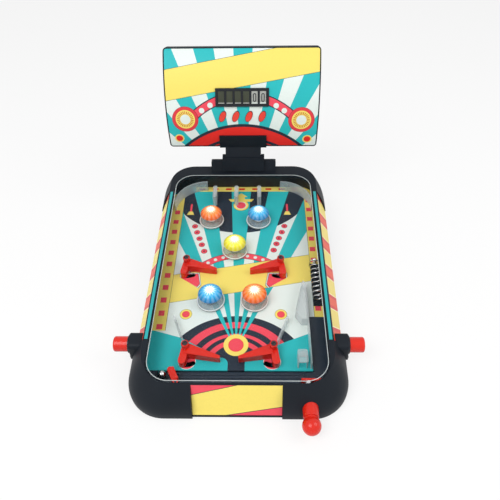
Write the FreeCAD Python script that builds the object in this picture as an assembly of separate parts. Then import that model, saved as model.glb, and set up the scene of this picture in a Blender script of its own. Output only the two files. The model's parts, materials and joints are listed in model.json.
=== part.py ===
import FreeCAD, Part
import math
import os

from FreeCAD import Placement, Rotation
from FreeCAD import Vector as V

# Tabletop pinball game. Lengths are millimetres, angles degrees.
# The game is drawn in its deck frame: X to the right, Y up the slope to the back, Z square to the
# playfield, with Z = 0 on the top of the rim and Y = 0 at the rim's front edge.
# At the end everything is leaned back by TILT and set on the table.

# Whole machine
TILT = 6.5
RIM_WIDTH = 240.0
RIM_LENGTH = 405.0
RIM_CORNER = 45.0
SKIRT_DEPTH = 44.0
SIDE_FLARE = 18.5
FRONT_FLARE = 19.0
REAR_FLARE = 8.0
BOTTOM_CORNER = 50.0
FRONT_HEIGHT = 51.2
FRONT_END = 61.0
REAR_END_INSET = 65.0
DEEP = 400.0
OVER = 1.0
FIT = 0.3
RUNNING = 0.08
CLEAR = 0.5

# Playfield and the space above it
DECK_DEPTH = 34.0
DECK_THICKNESS = 2.0
DECK_BACK_INSET = 14.0
WALL_THICKNESS = 1.8
BALL = 11.0

# Rim frame and window
RIM_THICKNESS = 4.0
RIM_EDGE_ROUND = 1.4
WINDOW_MARGIN = 8.0
WINDOW_FRONT = 2.2
WINDOW_BACK_INSET = 24.0
WINDOW_CORNER = 30.0
WINDOW_REBATE = 1.2
REBATE_WIDTH = 1.4
COVER_THICKNESS = 3.0
COVER_ROUND = 0.9
WALL_TOP_INSET = 1.0
WALL_FOOT_FLARE = 1.3
WALL_FOOT_FRONT = -5.0
WALL_FOOT_CORNER = 26.0
STRIP_WIDTH = 4.0
STRIP_THICKNESS = 1.2
STRIP_SINK = 0.8
STRIP_EDGE = 1.2

# Outer shell
PANEL_THICKNESS = 2.4
FASCIA_WALL = 4.0
FRONT_BULGE = 1.8
FRONT_PUSH = 3.0
REAR_BULGE = 2.5
REAR_CORNER = 38.0
REAR_STEP = 1.0
FASCIA_DROP = 4.0
LABEL_WIDTH = 109.5
LABEL_THICKNESS = 1.0
NOSE_SHARE = 0.3333
LOFT_SHARES = (0, 0.25, 0.5, 0.75, 1)
LABEL_TOP = 1.5

# Base housing under the deck
BASE_PROUD = 8.0
BASE_FRONT = -8.0
BASE_BACK_INSET = 4.0
BASE_CORNER = 40.0
BASE_WALL = 2.4
BASE_FOOT_GAP = 2.5
FLANGE_PROUD = 17.0
FLANGE_FRONT = -17.5
FLANGE_BACK_PROUD = 6.0
FLANGE_CORNER = 48.0
FLANGE_THICKNESS = 2.4
BOSS_RADIUS = 4.0
BOSS_SCREW_RADIUS = 1.4
BOSS_ROWS = (90.0, 100.0, 190.0, 245.0)
BOSS_LEFT_SHARE = 0.9708
BOSS_RIGHT_SHARE = 0.945
BOSS_BACK_SHARE = 0.7083
BOSS_BACK_INSET = 21.0
BOSS_LANE_GAP = 10.0
FOOT_RADIUS = 8.0
FOOT_SINK = 1.0
FOOT_INSET = 22.0
FOOT_FRONT_INSET = 14.0
FOOT_BACK_INSET = 22.0
SCREW_HEAD_RADIUS = 2.5
SCREW_HEAD_HEIGHT = 1.6
SCREW_SEAT = 4.0
STUB_LENGTH = 6.0

# Ball trough and shooter lane
TROUGH_FRONT = 21.5
TROUGH_BACK = 35.4
TROUGH_LEFT_SHARE = -0.8667
TROUGH_SINK = 3.0
TRAY_THICKNESS = 1.5
LANE_LEFT_SHARE = 0.7975
LANE_BACK = 118.0
LANE_RAMP_START = 60.0
LANE_CENTRE = 108.0
TRAY_GAP = 0.2

# Side buttons and their link bars
BUTTON_U = 66.0
BUTTON_DEPTH = 20.5
BUTTON_RADIUS = 10.0
BUTTON_PROUD = 20.0
BUTTON_ROUND = 2.2
BUTTON_FLANGE = 0.5
BUTTON_FLANGE_THICKNESS = 1.2
HOUSING_PROUD = 22.0
HOUSING_HALF = 12.0
HOUSING_TOP = 8.5
HOUSING_FOOT = 43.0
HOUSING_ROUND = 6.0
HOUSING_EDGE = 2.5
HOUSING_WALL = 2.0
HOUSING_FLOOR = 1.2
HOUSING_LIP = 1.6
HOUSING_LIP_HEIGHT = 7.0
ARM_THICKNESS = 1.8
ARM_HALF = 8.5
ARM_TOP = 16.0
BAR_TOP = 39.0
BAR_THICKNESS = 2.0
BAR_WIDTH = 10.0
BAR_ARM_HALF = 6.0
BAR_TAB_INSET = 2.0
BAR_TAB_THICKNESS = 1.6
BAR_TAB_DROP = 9.0
BAR_REACH = 6.0
LEFT_SPINE_SHARE = -0.8667
RIGHT_SPINE_SHARE = 0.6667
SPRING_STOP_SHARE = 0.75
SPRING_STOP_THICKNESS = 3.0
SPRING_STOP_HALF = 5.0
RETURN_SPRING_RADIUS = 3.5
RETURN_SPRING_WALL = 0.8

# Flippers
FLIPPER_SWING = 38.0
FLIPPER_REST = -22.0
FLIPPER_LENGTH = 48.5
FLIPPER_SHOULDER = 47.0
FLIPPER_CHIN = 1.2
FLIPPER_HEEL = (4.5, -9.6)
FLIPPER_TIP_ROUND = 1.6
FLIPPER_HUB_RADIUS = 5.2
FLIPPER_RECESS_START = 9.5
FLIPPER_RECESS_END = 40.0
FLIPPER_FOOT_GAP = 0.8
FLIPPER_HEIGHT = 12.5
FLIPPER_TIP_HEIGHT = 10.5
FLIPPER_HUB_HEIGHT = 19.5
FLIPPER_WALL = 1.6
CRANK_RADIUS = 20.0
CRANK_LEAN = 9.0
CRANK_WIDTH = 9.6
CRANK_HEIGHT = 11.0
CRANK_PIN_RADIUS = 2.0
PIN_CLEAR = 0.35
PIN_PAST_BAR = 0.6
SLOT_CLEAR = 1.6
PIVOT_RADIUS = 1.6
PIVOT_HEAD_RADIUS = 3.0
PIVOT_HEAD_HEIGHT = 1.4
PIVOT_FLANGE_RADIUS = 4.6
LOWER_LEFT_SHARE = -0.5758
LOWER_LEFT_U = 63.4
LOWER_RIGHT_SHARE = 0.3783
LOWER_RIGHT_U = 63.4
UPPER_LEFT_SHARE = -0.68
UPPER_LEFT_U = 209.8
UPPER_RIGHT_SHARE = 0.4875
UPPER_RIGHT_U = 209.5

# Bumpers
BUMPER_SHARES = {
    "top_left": -0.4258,
    "top_right": 0.2125,
    "middle": -0.09,
    "lower_left": -0.35,
    "lower_right": 0.1667,
}
BUMPER_ROWS = {
    "top_left": 305.0,
    "top_right": 305.0,
    "middle": 239.6,
    "lower_left": 143.6,
    "lower_right": 143.7,
}
CAP_COLOURS = {
    "orange": ("top_left", "lower_right"),
    "blue": ("top_right", "lower_left"),
    "yellow": ("middle",),
}
STEM_RADIUS = 4.6
STEM_WALL = 1.2
STEM_SHOULDER_RADIUS = 7.0
STEM_SHOULDER_HEIGHT = 1.2
STEM_TOP_DEPTH = 15.5
CAP_RADIUS = 16.5
CAP_RISE = 8.5
CAP_WALL = 1.8
CAP_RIM = 2.2
CAP_SPIGOT_WALL = 1.3
CAP_SPIGOT_DROP = 4.0
SKIRT_DISC_RADIUS = 20.0
SKIRT_DISC_THICKNESS = 1.2
SKIRT_HUB_RADIUS = 8.0
SKIRT_HUB_HEIGHT = 3.4
SKIRT_LIFT = 2.9
SKIRT_TRAVEL = 1.2
LAMP_RADIUS = 2.5
LAMP_HEIGHT = 7.0
LAMP_FLANGE = 0.4
LAMP_BASE_HEIGHT = 1.0

# Clear guides on the deck
GUIDE_WALL = 1.6
LANE_GUIDE_SHARES = (-0.4, -0.1, 0.2208)
LANE_GUIDE_INSET = 19.0
LANE_GUIDE_LENGTH = 29.0
LANE_GUIDE_WIDTH = 7.0
LANE_GUIDE_HEIGHT = 20.0
DIVIDER_HEIGHT = 16.0
DIVIDER_WALL_SHARE = 0.7817
DIVIDER_FRONT = 38.0
DIVIDER_TIP_SHARE = 0.7417
DIVIDER_TIP_U = 172.6
DIVIDER_LEFT_SHARE = 0.6333
DIVIDER_LEFT_U = 117.0
DIVIDER_HEEL_SHARE = 0.7
DIVIDER_HEEL_U = 104.0
INLANE_HEIGHT = 12.0
INLANE_WIDTH = 2.6
INLANE_BACK_U = 112.0
INLANE_FRONT_U = 73.0
INLANE_LEFT_SHARES = (-0.75, -0.6167)
INLANE_RIGHT_SHARES = (0.5517, 0.425)
CORNER_GUIDE_RADIUS = 52.0
CORNER_GUIDE_INSET = 8.0
CORNER_GUIDE_SIDE_INSET = 7.0
CORNER_GUIDE_HEIGHT = 20.0
GATE_SHARES = (0.6292, 0.7417)
GATE_FRONT = 38.5
GATE_BACK = 57.5
GATE_HEIGHT = 17.0

# Coil over the shooter lane
COIL_SHARE = 0.915
COIL_FRONT = 141.0
COIL_PITCH = 8.0
COIL_TURNS = 8
COIL_MEAN_RADIUS = 7.7
COIL_WIRE = 2.0
COIL_LIFT = 0.4
COIL_POST_RADIUS = 2.4
COIL_POST_HEIGHT = 9.0
COIL_POST_GAP = 6.0

# Plunger
PLUNGER_SHARE = 0.7333
PLUNGER_DEPTH = 28.0
PLUNGER_ROD_RADIUS = 3.0
PLUNGER_TRAVEL = 18.0
KNOB_RADIUS = 11.4
KNOB_CENTRE = -38.0
KNOB_NECK_RADIUS = 8.0
COLLAR_RADIUS = 9.5
COLLAR_SPIGOT_RADIUS = 7.6
COLLAR_SPIGOT_BACK = -7.2
COLLAR_FRONT = -28.0
COLLAR_BACK = -12.5
STRIKER_BACK = 20.0
STRIKER_THICKNESS = 3.0
STRIKER_SHARES = (0.6583, 0.9333)
STRIKER_HALF = 5.0
STRIKER_GAP = 0.8
PLUNGER_SPRING_RADIUS = 5.2
PLUNGER_SPRING_WALL = 0.9
PLUNGER_STOP_THICKNESS = 1.6

# Ball release lever in the trough, with the ball behind it
LEVER_SHARE = -0.6417
LEVER_U = 15.0
LEVER_LENGTH = 20.0
LEVER_ANGLE = 117.0
LEVER_RADIUS = 2.9
LEVER_HEIGHT = 9.5
LEVER_FOOT_GAP = 0.4
LEVER_PIN_RADIUS = 1.5
BALL_SHARE = -0.8083

# Scoreboard and its socket
BOARD_MARGIN = 1.0
BOARD_CORNER = 5.0
BOARD_FOOT_BACK = 1.0
BOARD_FOOT_HEIGHT = 42.0
BOARD_TOP_BACK = 56.0
BOARD_TOP_HEIGHT = 185.5
BOARD_BULGE = 20.0
BOARD_DEPTH = 17.0
BOARD_WALL = 2.2
BOARD_ROUND = 4.0
FACE_THICKNESS = 1.6
FACE_EDGE = 1.8
DISPLAY_WIDTH = 83.0
DISPLAY_LOW = 72.0
DISPLAY_HIGH = 99.5
DISPLAY_PROUD = 2.0
DISPLAY_DEPTH = 7.0
DISPLAY_FRAME = 3.6
DISPLAY_WINDOWS = 6
DISPLAY_BAR = 2.2
DISPLAY_SINK = 1.2
LENS_PITCH = 20.9
LENS_COUNT = 4
LENS_ARC = 56.3
LENS_LONG = 8.6
LENS_SHORT = 4.6
LENS_LEAN = 24.0
LENS_PROUD = 1.2
LENS_SINK = 5.0
CLIP_HALF = 38.5
CLIP_HEIGHT = 23.0
CLIP_THICKNESS = 3.0
SEAT_GAP = 0.03
NECK_HALF = 29.5
NECK_DEPTH = 14.0
NECK_LENGTH = 26.0
SOCKET_HALF = 54.5
SOCKET_INSET = 14.0
SOCKET_LENGTH = 29.0
SOCKET_TOP_LENGTH = 4.0
SOCKET_HEEL = 3.0
SOCKET_HEIGHT = 19.0
SOCKET_LEAN = 7.0
SOCKET_ROUND = 4.0
COWL_HALF = 35.0
COWL_PROUD = 2.2
COWL_HEIGHT = 27.0
COWL_LEAN = 5.7
COWL_TOP_LENGTH = 10.5
COWL_LENGTH = 27.2
COWL_HEEL = 14.0
COWL_FOOT = 3.0

# Electrics inside the base
BATTERY_RADIUS = 7.2
BATTERY_LENGTH = 50.0
BATTERY_COUNT = 3
BATTERY_NUB_RADIUS = 2.6
BATTERY_NUB = 1.0
BATTERY_PITCH = 15.6
BATTERY_BACK_INSET = 43.0
BOX_WALL = 1.6
BOX_END_SPACE = 4.0
CONTACT_THICKNESS = 0.5
CONTACT_HALF = 5.0
DOOR_MARGIN = 5.0
DOOR_THICKNESS = 2.4
SPEAKER_SHARE = -0.5833
SPEAKER_BACK_GAP = 43.6
SPEAKER_RADIUS = 25.0
SPEAKER_HEIGHT = 12.0
SPEAKER_MAGNET_RADIUS = 12.0
GRILLE_HOLE_RADIUS = 1.4
GRILLE_PITCH = 6.0
GRILLE_RINGS = 3
PCB_SHARE = 0.65
PCB_BACK_GAP = 70.6
PCB_HALF_SHARE = 0.3167
PCB_HALF_U = 28.0
PCB_THICKNESS = 1.6
PCB_LIFT = 8.0
CHIP_HALF = 6.0
CHIP_HEIGHT = 2.0
SWITCH_SHARE = 0.5
SWITCH_Z = 32.0
SWITCH_TRAVEL = 4.0
SWITCH_SLOT_HALF = 7.0
SWITCH_SLOT_HEIGHT = 5.0
SWITCH_KNOB_HALF = 2.6
SWITCH_PROUD = 2.0
SWITCH_BODY_DEPTH = 6.0

# Angles and places worked out from the sizes above
SIN = math.sin(math.radians(TILT))
COS = math.cos(math.radians(TILT))
RIM_HALF = RIM_WIDTH / 2
REAR_END = RIM_LENGTH - REAR_END_INSET
DECK_TOP = -DECK_DEPTH
DECK_UNDER = DECK_TOP - DECK_THICKNESS
DECK_BACK = RIM_LENGTH - DECK_BACK_INSET
WINDOW_HALF = RIM_HALF - WINDOW_MARGIN
WINDOW_BACK = RIM_LENGTH - WINDOW_BACK_INSET
WALL_FOOT_HALF = RIM_HALF + WALL_FOOT_FLARE
BASE_HALF = RIM_HALF + BASE_PROUD
BASE_BACK = RIM_LENGTH - BASE_BACK_INSET
FLANGE_HALF = RIM_HALF + FLANGE_PROUD
FLANGE_BACK = RIM_LENGTH + FLANGE_BACK_PROUD
STUB_END = DECK_UNDER - STUB_LENGTH
CRANK_REACH = math.radians(FLIPPER_SWING - CRANK_LEAN)
BUTTON_TRAVEL = CRANK_RADIUS * (math.sin(CRANK_REACH) + math.sin(math.radians(CRANK_LEAN)))
HOUSING_OUT = RIM_HALF + HOUSING_PROUD
BUTTON_OUT = HOUSING_OUT + BUTTON_PROUD
BAR_TAB_OUT = RIM_HALF - BAR_TAB_INSET
LEFT_SPINE = LEFT_SPINE_SHARE * RIM_HALF
RIGHT_SPINE = RIGHT_SPINE_SHARE * RIM_HALF
SPRING_STOP_OUT = SPRING_STOP_SHARE * RIM_HALF
TROUGH_LEFT = TROUGH_LEFT_SHARE * RIM_HALF
LANE_LEFT = LANE_LEFT_SHARE * RIM_HALF
LOWER_LEFT_PIVOT = (LOWER_LEFT_SHARE * RIM_HALF, LOWER_LEFT_U)
LOWER_RIGHT_PIVOT = (LOWER_RIGHT_SHARE * RIM_HALF, LOWER_RIGHT_U)
UPPER_LEFT_PIVOT = (UPPER_LEFT_SHARE * RIM_HALF, UPPER_LEFT_U)
UPPER_RIGHT_PIVOT = (UPPER_RIGHT_SHARE * RIM_HALF, UPPER_RIGHT_U)
BUMPER_PLACES = {
    name: (share * RIM_HALF, BUMPER_ROWS[name]) for name, share in BUMPER_SHARES.items()
}
LANE_GUIDE_PLACES = [share * RIM_HALF for share in LANE_GUIDE_SHARES]
LANE_GUIDE_BACK = DECK_BACK - LANE_GUIDE_INSET
LANE_GUIDE_FRONT = LANE_GUIDE_BACK - LANE_GUIDE_LENGTH
DIVIDER_WALL_X = DIVIDER_WALL_SHARE * RIM_HALF
DIVIDER_TIP = (DIVIDER_TIP_SHARE * RIM_HALF, DIVIDER_TIP_U)
DIVIDER_LEFT = (DIVIDER_LEFT_SHARE * RIM_HALF, DIVIDER_LEFT_U)
DIVIDER_HEEL = (DIVIDER_HEEL_SHARE * RIM_HALF, DIVIDER_HEEL_U)
INLANE_LEFT_BACK = (INLANE_LEFT_SHARES[0] * RIM_HALF, INLANE_BACK_U)
INLANE_LEFT_FRONT = (INLANE_LEFT_SHARES[1] * RIM_HALF, INLANE_FRONT_U)
INLANE_RIGHT_BACK = (INLANE_RIGHT_SHARES[0] * RIM_HALF, INLANE_BACK_U)
INLANE_RIGHT_FRONT = (INLANE_RIGHT_SHARES[1] * RIM_HALF, INLANE_FRONT_U)
GATE_LEFT = GATE_SHARES[0] * RIM_HALF
GATE_RIGHT = GATE_SHARES[1] * RIM_HALF
COIL_CENTRE = COIL_SHARE * RIM_HALF
PLUNGER_X = PLUNGER_SHARE * RIM_HALF
STRIKER_LEFT = STRIKER_SHARES[0] * RIM_HALF
STRIKER_RIGHT = STRIKER_SHARES[1] * RIM_HALF
LEVER_PIVOT = (LEVER_SHARE * RIM_HALF, LEVER_U)
BALL_X = BALL_SHARE * RIM_HALF
BOARD_HALF = RIM_HALF + BOARD_MARGIN
BOARD_FOOT = (RIM_LENGTH + BOARD_FOOT_BACK, BOARD_FOOT_HEIGHT)
BOARD_TOP = (RIM_LENGTH + BOARD_TOP_BACK, BOARD_TOP_HEIGHT)
SOCKET_FRONT = RIM_LENGTH - SOCKET_INSET
BATTERY_BACK = RIM_LENGTH - BATTERY_BACK_INSET
SPEAKER_X = SPEAKER_SHARE * RIM_HALF
SPEAKER_U = BASE_BACK - BASE_WALL - SPEAKER_BACK_GAP - SPEAKER_RADIUS
PCB_X = PCB_SHARE * RIM_HALF
PCB_HALF_X = PCB_HALF_SHARE * RIM_HALF
PCB_U = BASE_BACK - BASE_WALL - PCB_BACK_GAP - PCB_HALF_U
SWITCH_X = SWITCH_SHARE * RIM_HALF
ARM_OUT = HOUSING_OUT - HOUSING_WALL - BUTTON_FLANGE_THICKNESS - CLEAR
BOARD_LEAN = math.atan2(BOARD_TOP[0] - BOARD_FOOT[0], BOARD_TOP[1] - BOARD_FOOT[1])
FRONT_REACH = (KNOB_CENTRE * COS + PLUNGER_DEPTH * SIN) - KNOB_RADIUS
BACK_CORNER_U = BOARD_TOP[0] + BOARD_DEPTH * math.cos(BOARD_LEAN)
BACK_CORNER_W = BOARD_TOP[1] - BOARD_DEPTH * math.sin(BOARD_LEAN)
BACK_REACH = BACK_CORNER_U * COS - BACK_CORNER_W * SIN
SHIFT_Y = -(FRONT_REACH + BACK_REACH) / 2
STANCE = Placement(V(0, SHIFT_Y, FRONT_HEIGHT), Rotation(V(1, 0, 0), TILT))


def save(name, *solids):
    """Writes one node, stood on the table in the row frame."""
    shape = solids[0] if len(solids) == 1 else Part.makeCompound(list(solids))
    shape = shape.copy()
    shape.Placement = STANCE.multiply(shape.Placement)
    shape.exportStep("parts/" + name + ".step")


def fuse(first, *others):
    """Joins solids into one and drops the seams between flush faces."""
    return first.fuse(list(others)).removeSplitter()


def box(low, high):
    """A block between two corners."""
    size = high - low
    return Part.makeBox(size.x, size.y, size.z, low)


def rod(centre, radius, length, axis=V(0, 0, 1)):
    """A cylinder from a point along an axis."""
    return Part.makeCylinder(radius, length, centre, axis)


def tube(centre, outer, inner, length, axis=V(0, 0, 1)):
    """A hollow cylinder from a point along an axis."""
    return rod(centre, outer, length, axis).cut(rod(centre, inner, length, axis))


def round_edges(shape, radius, chosen):
    """Fillets the edges that the test picks."""
    edges = [e for e in shape.Edges if chosen(e)]
    return shape.makeFillet(radius, edges)


def upright(edge):
    """True for a straight edge square to the deck."""
    run = edge.Vertexes[-1].Point - edge.Vertexes[0].Point
    return run.Length > FIT and abs(run.z) > run.Length * math.cos(math.radians(1))


def all_at(edge, height):
    """True for an edge that lies at one height."""
    box_ = edge.BoundBox
    return abs(box_.ZMin - height) < RUNNING and abs(box_.ZMax - height) < RUNNING


def ring_wire(half, front, back, corner, height):
    """A rectangle with round corners at one height."""
    swing = corner * (1 - math.sqrt(0.5))
    points = []
    for sx, sy in ((1, 1), (-1, 1), (-1, -1), (1, -1)):
        y = back if sy > 0 else front
        across = V(sx * (half - corner), y, height)
        mid = V(sx * (half - swing), y - sy * swing, height)
        along = V(sx * half, y - sy * corner, height)
        points.append((along, mid, across) if sx * sy > 0 else (across, mid, along))
    edges = []
    for index, (start, mid, end) in enumerate(points):
        edges.append(Part.Arc(start, mid, end).toShape())
        edges.append(Part.LineSegment(end, points[(index + 1) % len(points)][0]).toShape())
    return Part.Wire(edges)


def ring_prism(half, front, back, corner, bottom, top):
    """A block with a round-cornered outline between two heights."""
    face = Part.Face(ring_wire(half, front, back, corner, bottom))
    return face.extrude(V(0, 0, top - bottom))


def prism(points, bottom, top):
    """A block over a polygon of (x, u) points."""
    wire = Part.makePolygon([V(x, u, bottom) for x, u in list(points) + [points[0]]])
    return Part.Face(wire).extrude(V(0, 0, top - bottom))


def side_prism(points, half):
    """A block over a polygon of (u, w) points, as wide as twice the half width."""
    wire = Part.makePolygon([V(-half, u, w) for u, w in list(points) + [points[0]]])
    return Part.Face(wire).extrude(V(2 * half, 0, 0))


def below_table(height):
    """All the space lower than a height above the table, in the deck frame."""
    block = box(V(-DEEP, -DEEP, height - DEEP), V(DEEP, 2 * DEEP, height))
    block.Placement = STANCE.inverse().multiply(block.Placement)
    return block


def table_height(u, w):
    """Height above the table of a place on the deck frame."""
    return u * SIN + w * COS + FRONT_HEIGHT


def deck_depth(u, height):
    """The deck-frame w of a place that lies at a height above the table."""
    return (height - FRONT_HEIGHT - u * SIN) / COS


def flat_shell(inset):
    """The straight-flared body of the sides, pulled in by an inset."""
    top = ring_wire(RIM_HALF - inset, inset, RIM_LENGTH - inset, RIM_CORNER - inset, 0)
    foot = ring_wire(
        RIM_HALF + SIDE_FLARE - inset,
        inset - FRONT_FLARE,
        RIM_LENGTH + REAR_FLARE - inset,
        BOTTOM_CORNER - inset,
        -SKIRT_DEPTH,
    )
    return Part.makeLoft([top, foot], True, True)


def bulged_shell():
    """The rounded body of the front corners, which swells out over the straight flare."""
    wires = []
    for share in LOFT_SHARES:
        swell = FRONT_BULGE * math.sin(math.pi * share)
        grow = SIDE_FLARE * math.sin(math.pi * share / 2) + FRONT_BULGE * share
        ahead = FRONT_FLARE * math.sin(math.pi * share / 2)
        corner = RIM_CORNER + (BOTTOM_CORNER - RIM_CORNER) * share
        half = RIM_HALF + grow
        out = ahead + swell * NOSE_SHARE + FRONT_PUSH * share
        wires.append(ring_wire(half, -out, RIM_LENGTH, corner, -SKIRT_DEPTH * share))
    body = Part.makeLoft(wires, True, False)
    foot = ring_prism(
        RIM_HALF + SIDE_FLARE + FRONT_BULGE,
        -FRONT_FLARE - FRONT_PUSH,
        RIM_LENGTH,
        BOTTOM_CORNER,
        -SKIRT_DEPTH - FASCIA_DROP,
        -SKIRT_DEPTH,
    )
    return fuse(body, foot)


def rear_shell():
    """The rounded body of the rear corners, a step proud of the side walls."""
    wires = []
    for share in LOFT_SHARES:
        swell = REAR_BULGE * math.sin(math.pi * share)
        half = RIM_HALF + REAR_STEP + SIDE_FLARE * share + swell
        back = RIM_LENGTH + REAR_STEP + REAR_FLARE * math.sin(math.pi * share / 2)
        corner = REAR_CORNER + (BOTTOM_CORNER - REAR_CORNER) * share
        wires.append(ring_wire(half, 0, back, corner, -SKIRT_DEPTH * share))
    return Part.makeLoft(wires, True, False)


def span(front, back):
    """A slice of all space between two places up the deck."""
    return box(V(-DEEP, front, -DEEP), V(DEEP, back, DEEP))


def window_wire(inset, height):
    """The outline of the window opening, pulled in by an inset."""
    return ring_wire(
        WINDOW_HALF - inset,
        WINDOW_FRONT + inset,
        WINDOW_BACK - inset,
        WINDOW_CORNER - inset,
        height,
    )


def deck_outline(bottom, top, inset=0.0):
    """The outline of the floor of the play space, under the foot of the inner wall."""
    grow = WALL_THICKNESS - inset
    return ring_prism(
        WALL_FOOT_HALF + grow,
        WALL_FOOT_FRONT - grow,
        DECK_BACK + grow,
        WALL_FOOT_CORNER + grow,
        bottom,
        top,
    )


def wall_body(grow):
    """The play space as a block from the rim down to the deck, grown all round."""
    top = window_wire(-WALL_TOP_INSET - grow, -RIM_THICKNESS)
    foot = ring_wire(
        WALL_FOOT_HALF + grow,
        WALL_FOOT_FRONT - grow,
        DECK_BACK + grow,
        WALL_FOOT_CORNER + grow,
        DECK_TOP,
    )
    return Part.makeLoft([top, foot], True, True)


def inner_wall():
    """The leaning wall round the play space, from the rim down to the deck."""
    return wall_body(WALL_THICKNESS).cut(wall_body(0))


def striker_pocket():
    """The pocket in the front wall that the striker draws back into, and the rod's way to it."""
    front = STRIKER_BACK - STRIKER_THICKNESS - PLUNGER_TRAVEL - STRIKER_GAP
    high = -PLUNGER_DEPTH + STRIKER_HALF + STRIKER_GAP
    pocket = box(
        V(STRIKER_LEFT - STRIKER_GAP, front, DECK_TOP), V(STRIKER_RIGHT + STRIKER_GAP, STRIKER_BACK, high)
    )
    start = V(PLUNGER_X, COLLAR_BACK, -PLUNGER_DEPTH)
    return pocket.fuse(rod(start, COLLAR_SPIGOT_RADIUS + FIT, STRIKER_BACK - COLLAR_BACK, V(0, 1, 0)))


def strip_box(side, low, high):
    """The block of one coloured strip on the rim."""
    outer = side * (RIM_HALF - STRIP_EDGE)
    inner = side * (RIM_HALF - STRIP_EDGE - STRIP_WIDTH)
    return box(V(min(outer, inner), FRONT_END, low), V(max(outer, inner), REAR_END, high))


def rim_frame(front, middle, rear):
    """The top frame: a ring round the window and the wall that hangs from it."""
    plate_zone = box(V(-DEEP, -DEEP, -RIM_THICKNESS), V(DEEP, 2 * DEEP, 0))
    pieces = [part.common(plate_zone) for part in (front, middle, rear)]
    ring = fuse(pieces[0], pieces[1], pieces[2])
    opening = Part.Face(window_wire(0, -RIM_THICKNESS - OVER)).extrude(
        V(0, 0, RIM_THICKNESS + 2 * OVER)
    )
    rebate = Part.Face(window_wire(-REBATE_WIDTH, -WINDOW_REBATE)).extrude(
        V(0, 0, WINDOW_REBATE + OVER)
    )
    ring = ring.cut(opening).cut(rebate)
    ring = fuse(ring, inner_wall())
    for side in (-1, 1):
        ring = ring.cut(strip_box(side, -STRIP_SINK, OVER))
    seat = label_block(0, DEEP).common(box(V(-DEEP, -DEEP, -DEEP), V(DEEP, DEEP, FIT - LABEL_TOP)))
    return ring.cut(striker_pocket()).cut(seat)


def window_cover():
    """The clear window, which lies in the rim's rebate with a rounded edge."""
    plate = Part.Face(window_wire(-REBATE_WIDTH + FIT / 2, -WINDOW_REBATE)).extrude(
        V(0, 0, COVER_THICKNESS)
    )
    top = COVER_THICKNESS - WINDOW_REBATE
    return round_edges(plate, COVER_ROUND, lambda e: all_at(e, top))


def arm_window(side):
    """The opening in the shell that a button's arm moves through."""
    half = BUTTON_RADIUS + BUTTON_FLANGE + FIT
    inner = side * (RIM_HALF - FASCIA_WALL)
    outer = side * HOUSING_OUT
    return box(
        V(min(inner, outer), BUTTON_U - half, -SKIRT_DEPTH - OVER),
        V(max(inner, outer), BUTTON_U + half, half - BUTTON_DEPTH),
    )


def flange_space():
    """The space under the skirt that the base's flange takes, with a fit round it."""
    return ring_prism(
        FLANGE_HALF + FIT,
        FLANGE_FRONT - FIT,
        FLANGE_BACK,
        FLANGE_CORNER + FIT,
        -SKIRT_DEPTH - FASCIA_DROP - OVER,
        -SKIRT_DEPTH,
    )


def front_fascia(front):
    """The black front: bulging corners with a flat seat for the label between them."""
    body = front.cut(box(V(-DEEP, -DEEP, -RIM_THICKNESS), V(DEEP, 2 * DEEP, DEEP)))
    body = body.cut(flat_shell(FASCIA_WALL))
    body = body.cut(flange_space())
    body = body.cut(label_block(0, DEEP))
    start = V(PLUNGER_X, COLLAR_FRONT, -PLUNGER_DEPTH)
    along = V(0, 1, 0)
    body = body.cut(rod(start, COLLAR_RADIUS + FIT, COLLAR_BACK - COLLAR_FRONT, along))
    body = body.cut(rod(start, COLLAR_SPIGOT_RADIUS + FIT, -COLLAR_FRONT, along))
    body = body.cut(wall_body(WALL_THICKNESS + FIT)).cut(striker_pocket())
    for side in (-1, 1):
        body = body.cut(arm_window(side))
    return body.cut(below_table(FIT))


def label_block(seat, out):
    """A slab on the label's slanted plane, from its seat outwards."""
    slope = math.atan2(FRONT_FLARE, SKIRT_DEPTH)
    normal = V(0, -math.cos(slope), math.sin(slope))
    length = math.hypot(FRONT_FLARE, SKIRT_DEPTH)
    half = LABEL_WIDTH / 2
    slab_ = box(V(-half, -out, -length - FASCIA_DROP * 2), V(half, -seat, length / 2))
    turn = Rotation(V(1, 0, 0), -math.degrees(slope))
    slab_.Placement = Placement(normal * -LABEL_THICKNESS, turn)
    return slab_


def front_label():
    """The printed card on the front, a thin plate on its seat."""
    card = label_block(0, LABEL_THICKNESS)
    half = LABEL_WIDTH / 2 - FIT
    return card.common(box(V(-half, -DEEP, -SKIRT_DEPTH + FIT), V(half, DEEP, -LABEL_TOP)))


def side_panel(middle, side):
    """One printed side wall between the front and the rear fascia."""
    wall = middle.cut(flat_shell(PANEL_THICKNESS))
    wall = wall.common(
        box(V(0 if side > 0 else -DEEP, -DEEP, -SKIRT_DEPTH), V(DEEP if side > 0 else 0, 2 * DEEP, -RIM_THICKNESS))
    )
    return wall.cut(arm_window(side))


def rear_fascia(rear):
    """The black rear wrap round both back corners."""
    wall = rear.cut(flat_shell(PANEL_THICKNESS))
    return wall.common(box(V(-DEEP, -DEEP, -SKIRT_DEPTH), V(DEEP, 2 * DEEP, -RIM_THICKNESS)))


def boss_places():
    """Where the base carries the deck, clear of the link bars."""
    return (
        (-BOSS_LEFT_SHARE * RIM_HALF, BOSS_ROWS[0]),
        (-BOSS_LEFT_SHARE * RIM_HALF, BOSS_ROWS[3]),
        (-RIM_HALF / 2, DECK_BACK - BOSS_BACK_INSET),
        (0.0, BOSS_ROWS[1]),
        (0.0, BOSS_ROWS[2]),
        (BOSS_BACK_SHARE * RIM_HALF, DECK_BACK - BOSS_BACK_INSET),
        (BOSS_RIGHT_SHARE * RIM_HALF, BOSS_ROWS[3]),
        (BOSS_RIGHT_SHARE * RIM_HALF, LANE_BACK + BOSS_LANE_GAP),
    )


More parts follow.
